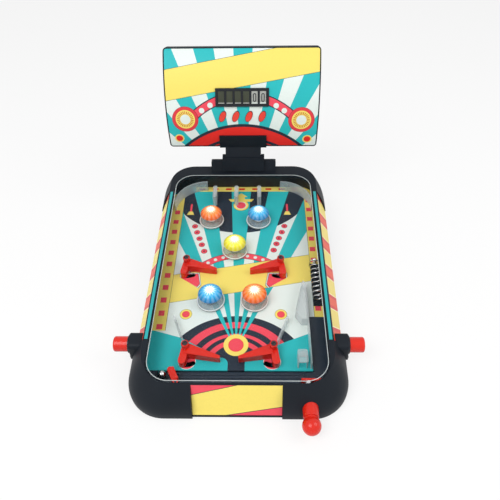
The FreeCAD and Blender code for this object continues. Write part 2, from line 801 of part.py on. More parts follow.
def foot_places():
    """The four rubber feet."""
    out = BASE_HALF - FOOT_INSET
    return [
        (sx * out, u)
        for sx in (-1, 1)
        for u in (BASE_FRONT + FOOT_FRONT_INSET, BASE_BACK - FOOT_BACK_INSET)
    ]


def battery_bay():
    """Low and high corner of the battery box's inside, on the base's floor."""
    half = BATTERY_COUNT * BATTERY_PITCH / 2
    length = BATTERY_LENGTH + BATTERY_NUB + BOX_END_SPACE
    return (-half, BATTERY_BACK - length), (half, BATTERY_BACK)


def floor_slab(low, high, bottom, top):
    """A block that stands level on the table, given by deck x and u and heights over the table."""
    front = low[1] / COS
    back = high[1] / COS
    world = box(
        V(low[0], front * COS + SHIFT_Y, bottom), V(high[0], back * COS + SHIFT_Y, top)
    )
    world.Placement = STANCE.inverse().multiply(world.Placement)
    return world


def floor_rod(x, u, radius, bottom, top):
    """An upright cylinder on the table's vertical, given like a floor slab."""
    world = rod(V(x, u + SHIFT_Y, bottom), radius, top - bottom)
    world.Placement = STANCE.inverse().multiply(world.Placement)
    return world


def door_corners():
    """Low and high corner of the battery door."""
    low, high = battery_bay()
    return (
        (low[0] - DOOR_MARGIN, low[1] - DOOR_MARGIN),
        (high[0] + DOOR_MARGIN, high[1] + DOOR_MARGIN),
    )


def grille_places():
    """The sound holes under the speaker: a centre and rings round it."""
    places = [(SPEAKER_X, SPEAKER_U)]
    for ring in range(1, GRILLE_RINGS + 1):
        count = 6 * ring
        for step in range(count):
            turn = 2 * math.pi * step / count
            radius = ring * GRILLE_PITCH
            places.append((SPEAKER_X + radius * math.cos(turn), SPEAKER_U + radius * math.sin(turn)))
    return places


def lower_housing():
    """The wedge-shaped base with its flange, bosses, spring stops and openings."""
    floor = BASE_FOOT_GAP + BASE_WALL
    outer = ring_prism(BASE_HALF, BASE_FRONT, BASE_BACK, BASE_CORNER, -DEEP / 2, -SKIRT_DEPTH)
    inner = ring_prism(
        BASE_HALF - BASE_WALL,
        BASE_FRONT + BASE_WALL,
        BASE_BACK - BASE_WALL,
        BASE_CORNER - BASE_WALL,
        -DEEP / 2 - OVER,
        -SKIRT_DEPTH + OVER,
    )
    flange = ring_prism(
        FLANGE_HALF,
        FLANGE_FRONT,
        FLANGE_BACK,
        FLANGE_CORNER,
        -SKIRT_DEPTH - FLANGE_THICKNESS,
        -SKIRT_DEPTH,
    )
    cavity = inner.cut(below_table(floor))
    body = fuse(outer.cut(below_table(BASE_FOOT_GAP)), flange).cut(cavity)
    for x, u in boss_places():
        boss = rod(V(x, u, -DEEP / 2), BOSS_RADIUS, DEEP / 2 + STUB_END)
        body = fuse(body, boss.cut(below_table(floor - FIT)))
        body = body.cut(rod(V(x, u, -DEEP / 2), BOSS_SCREW_RADIUS + FIT, DEEP))
        bore = DEEP / 2 + STUB_END - SCREW_SEAT
        body = body.cut(rod(V(x, u, -DEEP / 2), SCREW_HEAD_RADIUS + FIT, bore))
    for side in (-1, 1):
        body = fuse(body, spring_stop(side).cut(below_table(floor - FIT)))
    for x, u in foot_places():
        body = body.cut(floor_rod(x, u, FOOT_RADIUS + FIT / 2, 0, BASE_FOOT_GAP + FOOT_SINK))
    door_low, door_high = door_corners()
    gap = FIT
    opening = floor_slab(
        (door_low[0] - gap, door_low[1] - gap),
        (door_high[0] + gap, door_high[1] + gap),
        BASE_FOOT_GAP - OVER,
        floor + OVER,
    )
    body = body.cut(opening)
    for x, u in grille_places():
        body = body.cut(floor_rod(x, u, GRILLE_HOLE_RADIUS, BASE_FOOT_GAP - OVER, floor + OVER))
    return fuse(body.cut(switch_slot()), switch_body())


def spring_stop(side):
    """The upright rib that a button's return spring pushes against."""
    outer = side * SPRING_STOP_OUT
    inner = side * (SPRING_STOP_OUT - SPRING_STOP_THICKNESS)
    top = -BAR_TOP - BAR_THICKNESS - CLEAR
    return box(
        V(min(outer, inner), BUTTON_U - SPRING_STOP_HALF, -DEEP / 2),
        V(max(outer, inner), BUTTON_U + SPRING_STOP_HALF, top),
    )


def switch_slot():
    """The slot in the base's back wall for the power switch's knob."""
    w = deck_depth(BASE_BACK, SWITCH_Z)
    half = SWITCH_SLOT_HALF
    return box(
        V(SWITCH_X - half, BASE_BACK - BASE_WALL - OVER, w - SWITCH_SLOT_HEIGHT / 2),
        V(SWITCH_X + half, BASE_BACK + OVER, w + SWITCH_SLOT_HEIGHT / 2),
    )


def lane_zone(gap):
    """The strip of deck that the shooter lane's black floor takes, with a gap round it."""
    return box(V(LANE_LEFT - gap, -DEEP, -DEEP), V(DEEP, LANE_BACK + gap, DEEP))


def bumper_holes(radius):
    """Bores through the deck, one for each bumper."""
    return [
        rod(V(x, u, DECK_UNDER - OVER), radius, DECK_THICKNESS + 2 * OVER)
        for x, u in BUMPER_PLACES.values()
    ]


def crank_pin_place(pivot, side, share):
    """Where a crank's pin is at a share of its swing."""
    lean = math.radians(share * FLIPPER_SWING - CRANK_LEAN)
    return (
        pivot[0] - side * CRANK_RADIUS * math.sin(lean),
        pivot[1] - CRANK_RADIUS * math.cos(lean),
    )


def arc_slot(pivot, side, width):
    """The curved slot in the deck that a crank's pin sweeps through."""
    start, mid, end = (crank_pin_place(pivot, side, share) for share in (0, 0.5, 1))
    radius = width / 2
    low = DECK_UNDER - OVER
    high = DECK_TOP + OVER
    swept = tube(V(pivot[0], pivot[1], low), CRANK_RADIUS + radius, CRANK_RADIUS - radius, high - low)
    wedge = prism(
        (
            pivot,
            (pivot[0] + 2 * (start[0] - pivot[0]), pivot[1] + 2 * (start[1] - pivot[1])),
            (pivot[0] + 2 * (mid[0] - pivot[0]), pivot[1] + 2 * (mid[1] - pivot[1])),
            (pivot[0] + 2 * (end[0] - pivot[0]), pivot[1] + 2 * (end[1] - pivot[1])),
        ),
        low,
        high,
    )
    slot = swept.common(wedge)
    for place in (start, end):
        slot = slot.fuse(rod(V(place[0], place[1], low), radius, high - low))
    return slot


FLIPPERS = {
    "lower_left": (LOWER_LEFT_PIVOT, -1),
    "lower_right": (LOWER_RIGHT_PIVOT, 1),
    "upper_left": (UPPER_LEFT_PIVOT, -1),
    "upper_right": (UPPER_RIGHT_PIVOT, 1),
}


def playfield():
    """The flat deck with its bores and slots, left open over the trough and the lane."""
    plate = deck_outline(DECK_UNDER, DECK_TOP)
    plate = plate.cut(box(V(-DEEP, -DEEP, -DEEP), V(DEEP, TROUGH_BACK + TRAY_GAP, DEEP)))
    plate = plate.cut(lane_zone(TRAY_GAP))
    for hole in bumper_holes(STEM_RADIUS - STEM_WALL):
        plate = plate.cut(hole)
    stubs = [rod(V(x, u, STUB_END), BOSS_RADIUS, STUB_LENGTH) for x, u in boss_places()]
    plate = fuse(plate, *stubs)
    for x, u in boss_places():
        plate = plate.cut(rod(V(x, u, STUB_END - OVER), BOSS_SCREW_RADIUS + RUNNING, STUB_LENGTH))
    for pivot, side in FLIPPERS.values():
        plate = plate.cut(arc_slot(pivot, side, 2 * (CRANK_PIN_RADIUS + SLOT_CLEAR)))
        plate = plate.cut(rod(V(pivot[0], pivot[1], DECK_UNDER - OVER), PIVOT_RADIUS, DEEP))
    return plate


def ball_trough():
    """The black tray along the front and up the right side that the balls roll on."""
    floor = DECK_TOP - TROUGH_SINK
    under = floor - TRAY_THICKNESS
    body = deck_outline(under, DECK_TOP)
    front_part = box(V(-DEEP, -DEEP, -DEEP), V(DEEP, TROUGH_BACK, DEEP))
    body = body.common(front_part.fuse(lane_zone(0)))
    channel = box(V(TROUGH_LEFT, TROUGH_FRONT, floor), V(WALL_FOOT_HALF - FIT, TROUGH_BACK + OVER, DEEP))
    channel = round_edges(channel, BALL / 2, lambda e: upright(e) and e.BoundBox.XMax < 0)
    lane = ((TROUGH_FRONT, floor), (LANE_RAMP_START, floor), (LANE_BACK + OVER, DECK_TOP - FIT / 2))
    lane = lane + ((LANE_BACK + OVER, DEEP), (TROUGH_FRONT, DEEP))
    wire = Part.makePolygon([V(LANE_LEFT + OVER, u, w) for u, w in lane + (lane[0],)])
    run = WALL_FOOT_HALF - FIT - LANE_LEFT - OVER
    ramp = Part.Face(wire).extrude(V(run, 0, 0))
    body = body.cut(channel).cut(ramp)
    hollow = box(V(-DEEP, -DEEP, -DEEP), V(DEEP, TROUGH_FRONT - TRAY_THICKNESS, DECK_UNDER))
    body = body.cut(hollow)
    pin = rod(V(LEVER_PIVOT[0], LEVER_PIVOT[1], DECK_TOP), LEVER_PIN_RADIUS, LEVER_HEIGHT + OVER)
    return fuse(body, pin)


def flipper(pivot, side):
    """One flipper: hub, hollow-backed paddle, crank and the pin under the deck, at rest."""
    base = DECK_TOP + FLIPPER_FOOT_GAP
    centre = V(0, 0, base)
    hub = rod(centre, FLIPPER_HUB_RADIUS, FLIPPER_HUB_HEIGHT)
    heel_x, heel_y = FLIPPER_HEEL
    outline = (
        (0, FLIPPER_HUB_RADIUS),
        (FLIPPER_SHOULDER, FLIPPER_HUB_RADIUS),
        (FLIPPER_LENGTH, FLIPPER_CHIN),
        (heel_x, heel_y),
    )
    paddle = prism(outline, base, base + FLIPPER_HEIGHT)
    paddle = round_edges(
        paddle,
        FLIPPER_TIP_ROUND,
        lambda e: upright(e) and e.BoundBox.XMin > FLIPPER_RECESS_END,
    )
    slope = side_prism(
        (
            (FLIPPER_HUB_RADIUS, base + FLIPPER_HEIGHT),
            (FLIPPER_LENGTH, base + FLIPPER_TIP_HEIGHT),
            (FLIPPER_LENGTH, base + 2 * FLIPPER_HEIGHT),
            (FLIPPER_HUB_RADIUS, base + 2 * FLIPPER_HEIGHT),
        ),
        FLIPPER_LENGTH,
    )
    slope.rotate(V(0, 0, 0), V(0, 0, 1), -90)
    paddle = paddle.cut(slope)
    upper = FLIPPER_HUB_RADIUS - FLIPPER_WALL
    recess = (
        (FLIPPER_RECESS_START, upper),
        (FLIPPER_RECESS_START, heel_y + 2 * FLIPPER_WALL),
        (FLIPPER_RECESS_END, FLIPPER_CHIN - FLIPPER_WALL / 4),
        (FLIPPER_RECESS_END, upper),
    )
    hollow = prism(recess, base - OVER, base + FLIPPER_TIP_HEIGHT - 2 * FLIPPER_WALL)
    paddle = paddle.cut(hollow)
    crank_turn = -90 - FLIPPER_REST - CRANK_LEAN
    crank = box(V(0, -CRANK_WIDTH / 2, base), V(CRANK_RADIUS, CRANK_WIDTH / 2, base + CRANK_HEIGHT))
    crank = crank.fuse(rod(V(CRANK_RADIUS, 0, base), CRANK_WIDTH / 2, CRANK_HEIGHT))
    pin_foot = -BAR_TOP - BAR_THICKNESS - PIN_PAST_BAR
    crank = crank.fuse(rod(V(CRANK_RADIUS, 0, pin_foot), CRANK_PIN_RADIUS, base - pin_foot + OVER))
    crank.rotate(V(0, 0, 0), V(0, 0, 1), crank_turn)
    body = fuse(hub, paddle, crank)
    body = round_edges(body, FLIPPER_WALL / 2, lambda e: all_at(e, base + FLIPPER_HUB_HEIGHT))
    body = body.cut(rod(V(0, 0, base - OVER), PIVOT_RADIUS + RUNNING, DEEP))
    sink = base + FLIPPER_HUB_HEIGHT - PIVOT_HEAD_HEIGHT - FIT
    body = body.cut(rod(V(0, 0, sink), PIVOT_HEAD_RADIUS + FIT, DEEP))
    body.rotate(V(0, 0, 0), V(0, 0, 1), FLIPPER_REST)
    if side > 0:
        body = body.mirror(V(0, 0, 0), V(1, 0, 0))
    body.translate(V(pivot[0], pivot[1], 0))
    return body


def flipper_pivots():
    """Steel shoulder pins that the four flippers turn on."""
    pins = []
    top = DECK_TOP + FLIPPER_FOOT_GAP + FLIPPER_HUB_HEIGHT - PIVOT_HEAD_HEIGHT
    for pivot, _ in FLIPPERS.values():
        pin = rod(V(pivot[0], pivot[1], DECK_UNDER), PIVOT_RADIUS, top - DECK_UNDER + FIT)
        head = rod(V(pivot[0], pivot[1], top), PIVOT_HEAD_RADIUS, PIVOT_HEAD_HEIGHT)
        flange = rod(V(pivot[0], pivot[1], DECK_TOP), PIVOT_FLANGE_RADIUS, FLIPPER_FOOT_GAP - FIT)
        pins.append(fuse(pin, head, flange))
    return pins


def link_bar(side, spine, pivots):
    """The sliding bar under the deck that joins one button to its two flippers."""
    top = -BAR_TOP
    low = top - BAR_THICKNESS
    pins = [crank_pin_place(pivot, side, 0) for pivot in pivots]
    front = min(u for _, u in pins) - BAR_REACH
    back = max(u for _, u in pins) + BAR_REACH
    body = box(V(spine - BAR_WIDTH / 2, front, low), V(spine + BAR_WIDTH / 2, back, top))
    arm_end = side * ARM_OUT
    across = box(
        V(min(arm_end, spine), BUTTON_U - BAR_ARM_HALF, low),
        V(max(arm_end, spine), BUTTON_U + BAR_ARM_HALF, top),
    )
    parts_ = [across]
    near = CRANK_RADIUS * math.cos(CRANK_REACH)
    for (x, _), (_, hub) in zip(pins, pivots):
        tip = x - side * BAR_REACH
        mid = hub - (CRANK_RADIUS + near) / 2
        parts_.append(
            box(V(min(tip, spine), mid - BAR_REACH, low), V(max(tip, spine), mid + BAR_REACH, top))
        )
    inner = side * (ARM_OUT - ARM_THICKNESS)
    parts_.append(
        box(
            V(min(arm_end, inner), BUTTON_U - ARM_HALF, low),
            V(max(arm_end, inner), BUTTON_U + ARM_HALF, -ARM_TOP),
        )
    )
    tab = side * BAR_TAB_OUT
    tab_in = side * (BAR_TAB_OUT - BAR_TAB_THICKNESS)
    parts_.append(
        box(
            V(min(tab, tab_in), BUTTON_U - BAR_ARM_HALF, low - BAR_TAB_DROP),
            V(max(tab, tab_in), BUTTON_U + BAR_ARM_HALF, low + OVER),
        )
    )
    body = fuse(body, *parts_)
    radius = CRANK_PIN_RADIUS + PIN_CLEAR
    for (x, _), (_, hub) in zip(pins, pivots):
        start = hub - CRANK_RADIUS
        end = hub - near
        slot = box(V(x - radius, start, low - OVER), V(x + radius, end, top + OVER))
        for u in (start, end):
            slot = slot.fuse(rod(V(x, u, low - OVER), radius, BAR_THICKNESS + 2 * OVER))
        body = body.cut(slot)
    return body


def button_cap(side):
    """The red push cap: a domed drum with a flange that keeps it in its housing."""
    length = BUTTON_OUT - ARM_OUT
    centre = V(ARM_OUT, BUTTON_U, -BUTTON_DEPTH)
    cap = rod(centre, BUTTON_RADIUS, length, V(1, 0, 0))
    cap = round_edges(cap, BUTTON_ROUND, lambda e: e.BoundBox.XMin > BUTTON_OUT - RUNNING)
    flange = rod(centre, BUTTON_RADIUS + BUTTON_FLANGE, BUTTON_FLANGE_THICKNESS, V(1, 0, 0))
    cap = fuse(cap, flange)
    return cap if side > 0 else cap.mirror(V(0, 0, 0), V(1, 0, 0))


def button_housing(side, front, middle):
    """The black block on the side wall that guides a button."""
    low_u = BUTTON_U - HOUSING_HALF
    high_u = BUTTON_U + HOUSING_HALF
    body = box(V(RIM_HALF, low_u, -HOUSING_FOOT), V(HOUSING_OUT, high_u, -HOUSING_TOP))
    body = round_edges(
        body,
        HOUSING_ROUND,
        lambda e: e.BoundBox.XLength > OVER and e.BoundBox.YLength < OVER and e.BoundBox.ZLength < OVER,
    )
    body = round_edges(body, HOUSING_EDGE, lambda e: e.BoundBox.XMin > HOUSING_OUT - RUNNING)
    lip = box(
        V(RIM_HALF, low_u + HOUSING_EDGE, -HOUSING_FOOT),
        V(HOUSING_OUT + HOUSING_LIP, high_u - HOUSING_EDGE, -HOUSING_FOOT + HOUSING_LIP_HEIGHT),
    )
    lip = round_edges(lip, HOUSING_LIP, lambda e: e.BoundBox.XMin > HOUSING_OUT)
    body = fuse(body, lip)
    body = body.cut(front).cut(middle).cut(flange_space())
    half = BUTTON_RADIUS + BUTTON_FLANGE + FIT
    inner = HOUSING_OUT - HOUSING_WALL
    cavity = box(
        V(RIM_HALF - OVER, BUTTON_U - half, -HOUSING_FOOT + HOUSING_FLOOR),
        V(inner, BUTTON_U + half, -BUTTON_DEPTH),
    )
    start = V(RIM_HALF - OVER, BUTTON_U, -BUTTON_DEPTH)
    cavity = cavity.fuse(rod(start, half, inner - RIM_HALF + OVER, V(1, 0, 0)))
    body = body.cut(cavity)
    bore = rod(V(RIM_HALF, BUTTON_U, -BUTTON_DEPTH), BUTTON_RADIUS + FIT, DEEP, V(1, 0, 0))
    body = body.cut(bore)
    return body if side > 0 else body.mirror(V(0, 0, 0), V(1, 0, 0))


def return_spring(side):
    """The button's return spring between the bar's tab and the base's rib."""
    start = SPRING_STOP_OUT
    end = BAR_TAB_OUT - BAR_TAB_THICKNESS
    w = -BAR_TOP - BAR_THICKNESS - BAR_TAB_DROP / 2
    spring = tube(
        V(start, BUTTON_U, w),
        RETURN_SPRING_RADIUS,
        RETURN_SPRING_RADIUS - RETURN_SPRING_WALL,
        end - start,
        V(1, 0, 0),
    )
    return spring if side > 0 else spring.mirror(V(0, 0, 0), V(1, 0, 0))


def bumper_stem(x, u):
    """The clear post of a bumper: a tube with a shoulder that the skirt rests over."""
    top = -STEM_TOP_DEPTH
    post = rod(V(x, u, DECK_TOP), STEM_RADIUS, top - DECK_TOP)
    shoulder = rod(V(x, u, DECK_TOP), STEM_SHOULDER_RADIUS, STEM_SHOULDER_HEIGHT)
    body = fuse(post, shoulder)
    return body.cut(rod(V(x, u, DECK_TOP - OVER), STEM_RADIUS - STEM_WALL, DEEP))


def bumper_cap(x, u):
    """The coloured dome of a bumper, hollow, with a spigot over the stem's top."""
    rim = -STEM_TOP_DEPTH
    sphere = (CAP_RADIUS**2 + CAP_RISE**2) / (2 * CAP_RISE)
    centre = V(0, 0, CAP_RIM + CAP_RISE - sphere)
    dome = Part.makeSphere(sphere, centre).common(rod(V(0, 0, CAP_RIM), CAP_RADIUS, CAP_RISE))
    body = fuse(dome, rod(V(0, 0, 0), CAP_RADIUS, CAP_RIM))
    hollow = Part.makeSphere(sphere - CAP_WALL, centre).common(
        rod(V(0, 0, 0), CAP_RADIUS - CAP_WALL, CAP_RISE)
    )
    hollow = hollow.fuse(rod(V(0, 0, -OVER), CAP_RADIUS - CAP_WALL, CAP_RIM))
    body = body.cut(hollow)
    spigot = tube(
        V(0, 0, -CAP_SPIGOT_DROP),
        STEM_RADIUS + CAP_SPIGOT_WALL,
        STEM_RADIUS,
        CAP_SPIGOT_DROP + CAP_RISE / 2,
    )
    ceiling = Part.makeSphere(sphere - CAP_WALL / 2, centre)
    tall = tube(V(0, 0, -CAP_SPIGOT_DROP), STEM_RADIUS + CAP_SPIGOT_WALL, STEM_RADIUS, DEEP / 4)
    spigot = spigot.fuse(tall.common(ceiling.common(rod(V(0, 0, 0), CAP_RADIUS, CAP_RISE + CAP_RIM))))
    body = fuse(body, spigot)
    body.translate(V(x, u, rim))
    return body


def bumper_skirt(x, u):
    """The clear disc round a bumper's foot that the ball presses down."""
    low = DECK_TOP + SKIRT_LIFT
    inner = STEM_RADIUS + FIT + RUNNING
    profile = Part.makePolygon(
        [
            V(inner, 0, low),
            V(SKIRT_DISC_RADIUS, 0, low - SKIRT_DISC_THICKNESS / 2),
            V(SKIRT_DISC_RADIUS, 0, low + SKIRT_DISC_THICKNESS / 2),
            V(SKIRT_HUB_RADIUS, 0, low + SKIRT_DISC_THICKNESS),
            V(SKIRT_HUB_RADIUS - SKIRT_DISC_THICKNESS, 0, low + SKIRT_HUB_HEIGHT),
            V(inner, 0, low + SKIRT_HUB_HEIGHT),
            V(inner, 0, low),
        ]
    )
    body = Part.Face(profile).revolve(V(0, 0, 0), V(0, 0, 1), 360)
    body.translate(V(x, u, 0))
    return body


def bumper_lamp(x, u):
    """The round-nosed lamp on its base in a bumper's stem, and its leads' foot on the deck."""
    radius = STEM_RADIUS - STEM_WALL - FIT
    foot = rod(V(x, u, DECK_TOP - FIT), radius, LAMP_BASE_HEIGHT - DECK_TOP - STEM_TOP_DEPTH)
    lamp = rod(V(x, u, -STEM_TOP_DEPTH), LAMP_RADIUS, LAMP_HEIGHT - LAMP_RADIUS)
    nose = Part.makeSphere(LAMP_RADIUS, V(x, u, LAMP_HEIGHT - LAMP_RADIUS - STEM_TOP_DEPTH))
    return fuse(foot, lamp, nose)


def stadium(x, front, back, width, bottom, top):
    """A block with half-round ends along the deck's slope."""
    radius = width / 2
    body = box(V(x - radius, front + radius, bottom), V(x + radius, back - radius, top))
    for u in (front + radius, back - radius):
        body = body.fuse(rod(V(x, u, bottom), radius, top - bottom))
    return body.removeSplitter()


def top_lane_guides():
    """Three clear hollow guides at the top of the deck."""
    guides = []
    top = DECK_TOP + LANE_GUIDE_HEIGHT
    for x in LANE_GUIDE_PLACES:
        guide = stadium(x, LANE_GUIDE_FRONT, LANE_GUIDE_BACK, LANE_GUIDE_WIDTH, DECK_TOP, top)
        core = stadium(
            x,
            LANE_GUIDE_FRONT + GUIDE_WALL,
            LANE_GUIDE_BACK - GUIDE_WALL,
            LANE_GUIDE_WIDTH - 2 * GUIDE_WALL,
            DECK_TOP - OVER,
            top - GUIDE_WALL,
        )
        guides.append(guide.cut(core))
    return guides


def lane_divider():
    """The clear wedge and wall between the shooter lane and the deck."""
    top = DECK_TOP + DIVIDER_HEIGHT
    wall = DIVIDER_WALL_X
    wedge = prism((DIVIDER_TIP, DIVIDER_LEFT, DIVIDER_HEEL, (wall, DIVIDER_HEEL[1]), (wall, DIVIDER_TIP[1] - BALL)), DECK_TOP, top)
    wedge = round_edges(wedge, GUIDE_WALL, upright)
    inner = prism(
        (
            (DIVIDER_TIP[0], DIVIDER_TIP[1] - 3 * GUIDE_WALL),
            (DIVIDER_LEFT[0] + 1.3 * GUIDE_WALL, DIVIDER_LEFT[1]),
            (DIVIDER_HEEL[0], DIVIDER_HEEL[1] + GUIDE_WALL),
            (wall - GUIDE_WALL, DIVIDER_HEEL[1] + GUIDE_WALL),
            (wall - GUIDE_WALL, DIVIDER_TIP[1] - BALL),
        ),
        DECK_TOP - OVER,
        top - GUIDE_WALL,
    )
    rail = box(V(wall - GUIDE_WALL, DIVIDER_FRONT, DECK_TOP), V(wall, DIVIDER_HEEL[1] + OVER, top))
    return fuse(wedge.cut(inner), rail)


def inlane_guide(start, end):
    """A clear rail that leads the ball to a flipper."""
    run = V(end[0] - start[0], end[1] - start[1], 0)
    turn = math.degrees(math.atan2(run.x, -run.y))
    rail = stadium(0, -run.Length, 0, INLANE_WIDTH, DECK_TOP, DECK_TOP + INLANE_HEIGHT)
    rail.rotate(V(0, 0, 0), V(0, 0, 1), turn)
    rail.translate(V(start[0], start[1], 0))
    return rail


def corner_guides():
    """Two clear curved guides that turn the ball round the top corners."""
    guides = []
    back = DECK_BACK - CORNER_GUIDE_INSET
    half = WALL_FOOT_HALF - CORNER_GUIDE_SIDE_INSET
    for side in (-1, 1):
        centre = V(side * (half - CORNER_GUIDE_RADIUS), back - CORNER_GUIDE_RADIUS, DECK_TOP)
        ring = tube(
            centre, CORNER_GUIDE_RADIUS, CORNER_GUIDE_RADIUS - GUIDE_WALL, CORNER_GUIDE_HEIGHT
        )
        quarter = box(
            V(min(centre.x, side * DEEP), centre.y, -DEEP), V(max(centre.x, side * DEEP), DEEP * 2, 0)
        )
        guides.append(ring.common(quarter))
    return guides


def return_gate():
    """The clear bent cover at the end of the trough that turns the ball into the lane."""
    top = DECK_TOP + GATE_HEIGHT
    outer = box(V(GATE_LEFT, GATE_FRONT, DECK_TOP), V(GATE_RIGHT, GATE_BACK, top))
    outer = round_edges(outer, 2 * GUIDE_WALL, upright)
    inner = box(
        V(GATE_LEFT + GUIDE_WALL, GATE_FRONT - OVER, DECK_TOP - OVER),
        V(GATE_RIGHT - GUIDE_WALL, GATE_BACK - GUIDE_WALL, top - GUIDE_WALL),
    )
    return outer.cut(inner)


def arc_from(start, corner, end):
    """The arc that touches start-corner and ends touching corner-end, as long legs are equal."""
    middle = (start + end) * 0.5
    weight = (start - middle).Length / (start - corner).Length
    apex = (middle + corner * weight) * (1 / (1 + weight))
    return Part.Arc(start, apex, end).toShape()


def biarc(start, start_way, end, end_way):
    """Two arcs that join two points smoothly, each leaving in its given way."""
    chord = end - start
    ways = start_way + end_way
    square = 2 * (1 - start_way.dot(end_way))
    along = chord.dot(ways)
    reach = (math.sqrt(along**2 + square * chord.dot(chord)) - along) / square
    first = start + start_way * reach
    second = end - end_way * reach
    middle = (first + second) * 0.5
    return [arc_from(start, first, middle), arc_from(middle, second, end)]


def coil_point(turn):
    """A place on the coil's centre line, in turns from its front end."""
    angle = 2 * math.pi * turn
    return V(
        COIL_CENTRE + COIL_MEAN_RADIUS * math.cos(angle),
        COIL_FRONT + COIL_PITCH * turn,
        coil_axis_depth() + COIL_MEAN_RADIUS * math.sin(angle),
    )


def coil_way(turn):
    """The direction of the coil's centre line at that place."""
    angle = 2 * math.pi * turn
    rise = COIL_PITCH / (2 * math.pi)
    way = V(-COIL_MEAN_RADIUS * math.sin(angle), rise, COIL_MEAN_RADIUS * math.cos(angle))
    return way.normalize()


def coil_axis_depth():
    """Height of the coil's axis: its lowest turns clear the deck by the lift."""
    return DECK_TOP + COIL_LIFT + COIL_WIRE / 2 + COIL_MEAN_RADIUS


def lane_coil():
    """The coil over the shooter lane: one tube with both legs straight down on the deck."""
    half_turns = 2 * COIL_TURNS + 1
    ends = [coil_point(0), coil_point(half_turns / 2)]
    edges = [Part.LineSegment(V(ends[0].x, ends[0].y, DECK_TOP), ends[0]).toShape()]
    for step in range(half_turns):
        start_way = V(0, 0, 1) if step == 0 else coil_way(step / 2)
        end_way = V(0, 0, -1) if step == half_turns - 1 else coil_way((step + 1) / 2)
        edges += biarc(coil_point(step / 2), start_way, coil_point((step + 1) / 2), end_way)
    edges.append(Part.LineSegment(ends[1], V(ends[1].x, ends[1].y, DECK_TOP)).toShape())
    path = Part.Wire(edges)
    radius = COIL_WIRE / 2
    corners = [
        V(
            ends[0].x + radius * math.cos(math.pi * k / 4),
            ends[0].y + radius * math.sin(math.pi * k / 4),
            DECK_TOP,
        )
        for k in range(9)
    ]
    sweep = Part.BRepOffsetAPI.MakePipeShell(path)
    sweep.add(Part.makePolygon(corners), False, False)
    sweep.build()
    sweep.makeSolid()
    solid = sweep.shape()
    points = [p for e in edges[1:-1] for p in e.discretize(6)[:-1]]
    skip = 12
    gap = min(
        (points[i] - points[j]).Length - COIL_WIRE
        for i in range(len(points))
        for j in range(i + skip, len(points))
    )
    print("coil least gap to itself", round(gap, 2), "length", round(path.Length, 1))
    print("coil volume share", round(solid.Volume / (2 * math.sqrt(2) * radius**2 * path.Length), 3))
    return solid


def coil_post():
    """The white post that ends the coil."""
    u = COIL_FRONT + COIL_PITCH * (COIL_TURNS + 1 / 2) + COIL_POST_GAP
    return rod(V(COIL_CENTRE, u, DECK_TOP), COIL_POST_RADIUS, COIL_POST_HEIGHT)


def plunger_knob():
    """The red pull knob: a ball with a short neck and flats where the mould parts."""
    centre = V(PLUNGER_X, KNOB_CENTRE, -PLUNGER_DEPTH)
    ball = Part.makeSphere(KNOB_RADIUS, centre)
    neck = rod(centre, KNOB_NECK_RADIUS, COLLAR_FRONT - KNOB_CENTRE, V(0, 1, 0))
    body = fuse(ball.cut(box(V(0, COLLAR_FRONT, -DEEP), V(DEEP, DEEP, 0))), neck)
    return body.cut(rod(centre, PLUNGER_ROD_RADIUS, DEEP, V(0, 1, 0)))


def plunger_rod():
    """The rod with its spring stop and the wide striker that meets the ball."""
    start = V(PLUNGER_X, KNOB_CENTRE, -PLUNGER_DEPTH)
    shaft = rod(start, PLUNGER_ROD_RADIUS, STRIKER_BACK - KNOB_CENTRE, V(0, 1, 0))
    striker = box(
        V(STRIKER_LEFT, STRIKER_BACK - STRIKER_THICKNESS, -PLUNGER_DEPTH - STRIKER_HALF),
        V(STRIKER_RIGHT, STRIKER_BACK, -PLUNGER_DEPTH + STRIKER_HALF),
    )
    return fuse(shaft, striker)


def plunger_collar():
    """The fixed red collar that guides the rod through the front."""
    start = V(PLUNGER_X, COLLAR_FRONT, -PLUNGER_DEPTH)
    body = rod(start, COLLAR_RADIUS, COLLAR_BACK - COLLAR_FRONT, V(0, 1, 0))
    spigot = rod(start, COLLAR_SPIGOT_RADIUS, COLLAR_SPIGOT_BACK - COLLAR_FRONT, V(0, 1, 0))
    body = fuse(body, spigot)
    return body.cut(rod(start, PLUNGER_ROD_RADIUS + RUNNING, DEEP, V(0, 1, 0)))


def plunger_spring():
    """The spring on the rod between the collar and the striker."""
    start = COLLAR_SPIGOT_BACK
    end = STRIKER_BACK - STRIKER_THICKNESS
    return tube(
        V(PLUNGER_X, start, -PLUNGER_DEPTH),
        PLUNGER_SPRING_RADIUS,
        PLUNGER_SPRING_RADIUS - PLUNGER_SPRING_WALL,
        end - start,
        V(0, 1, 0),
    )


def release_lever():
    """The small red lever that holds the ball back in the trough's left pocket."""
    base = DECK_TOP + LEVER_FOOT_GAP
    top = base + LEVER_HEIGHT
    arm = box(V(0, -LEVER_RADIUS, base), V(LEVER_LENGTH, LEVER_RADIUS, top))
    arm = arm.fuse(rod(V(0, 0, base), LEVER_RADIUS, LEVER_HEIGHT))
    arm = fuse(arm, rod(V(LEVER_LENGTH, 0, base), LEVER_RADIUS, LEVER_HEIGHT))
    arm = arm.cut(rod(V(0, 0, base - OVER), LEVER_PIN_RADIUS + RUNNING, DEEP))
    arm.rotate(V(0, 0, 0), V(0, 0, 1), LEVER_ANGLE)
    arm.translate(V(LEVER_PIVOT[0], LEVER_PIVOT[1], 0))
    return arm


def steel_ball():
    """The ball, in the pocket at the trough's left end."""
    u = (TROUGH_FRONT + TROUGH_BACK) / 2
    return Part.makeSphere(BALL / 2, V(BALL_X, u, DECK_TOP - TROUGH_SINK + BALL / 2))


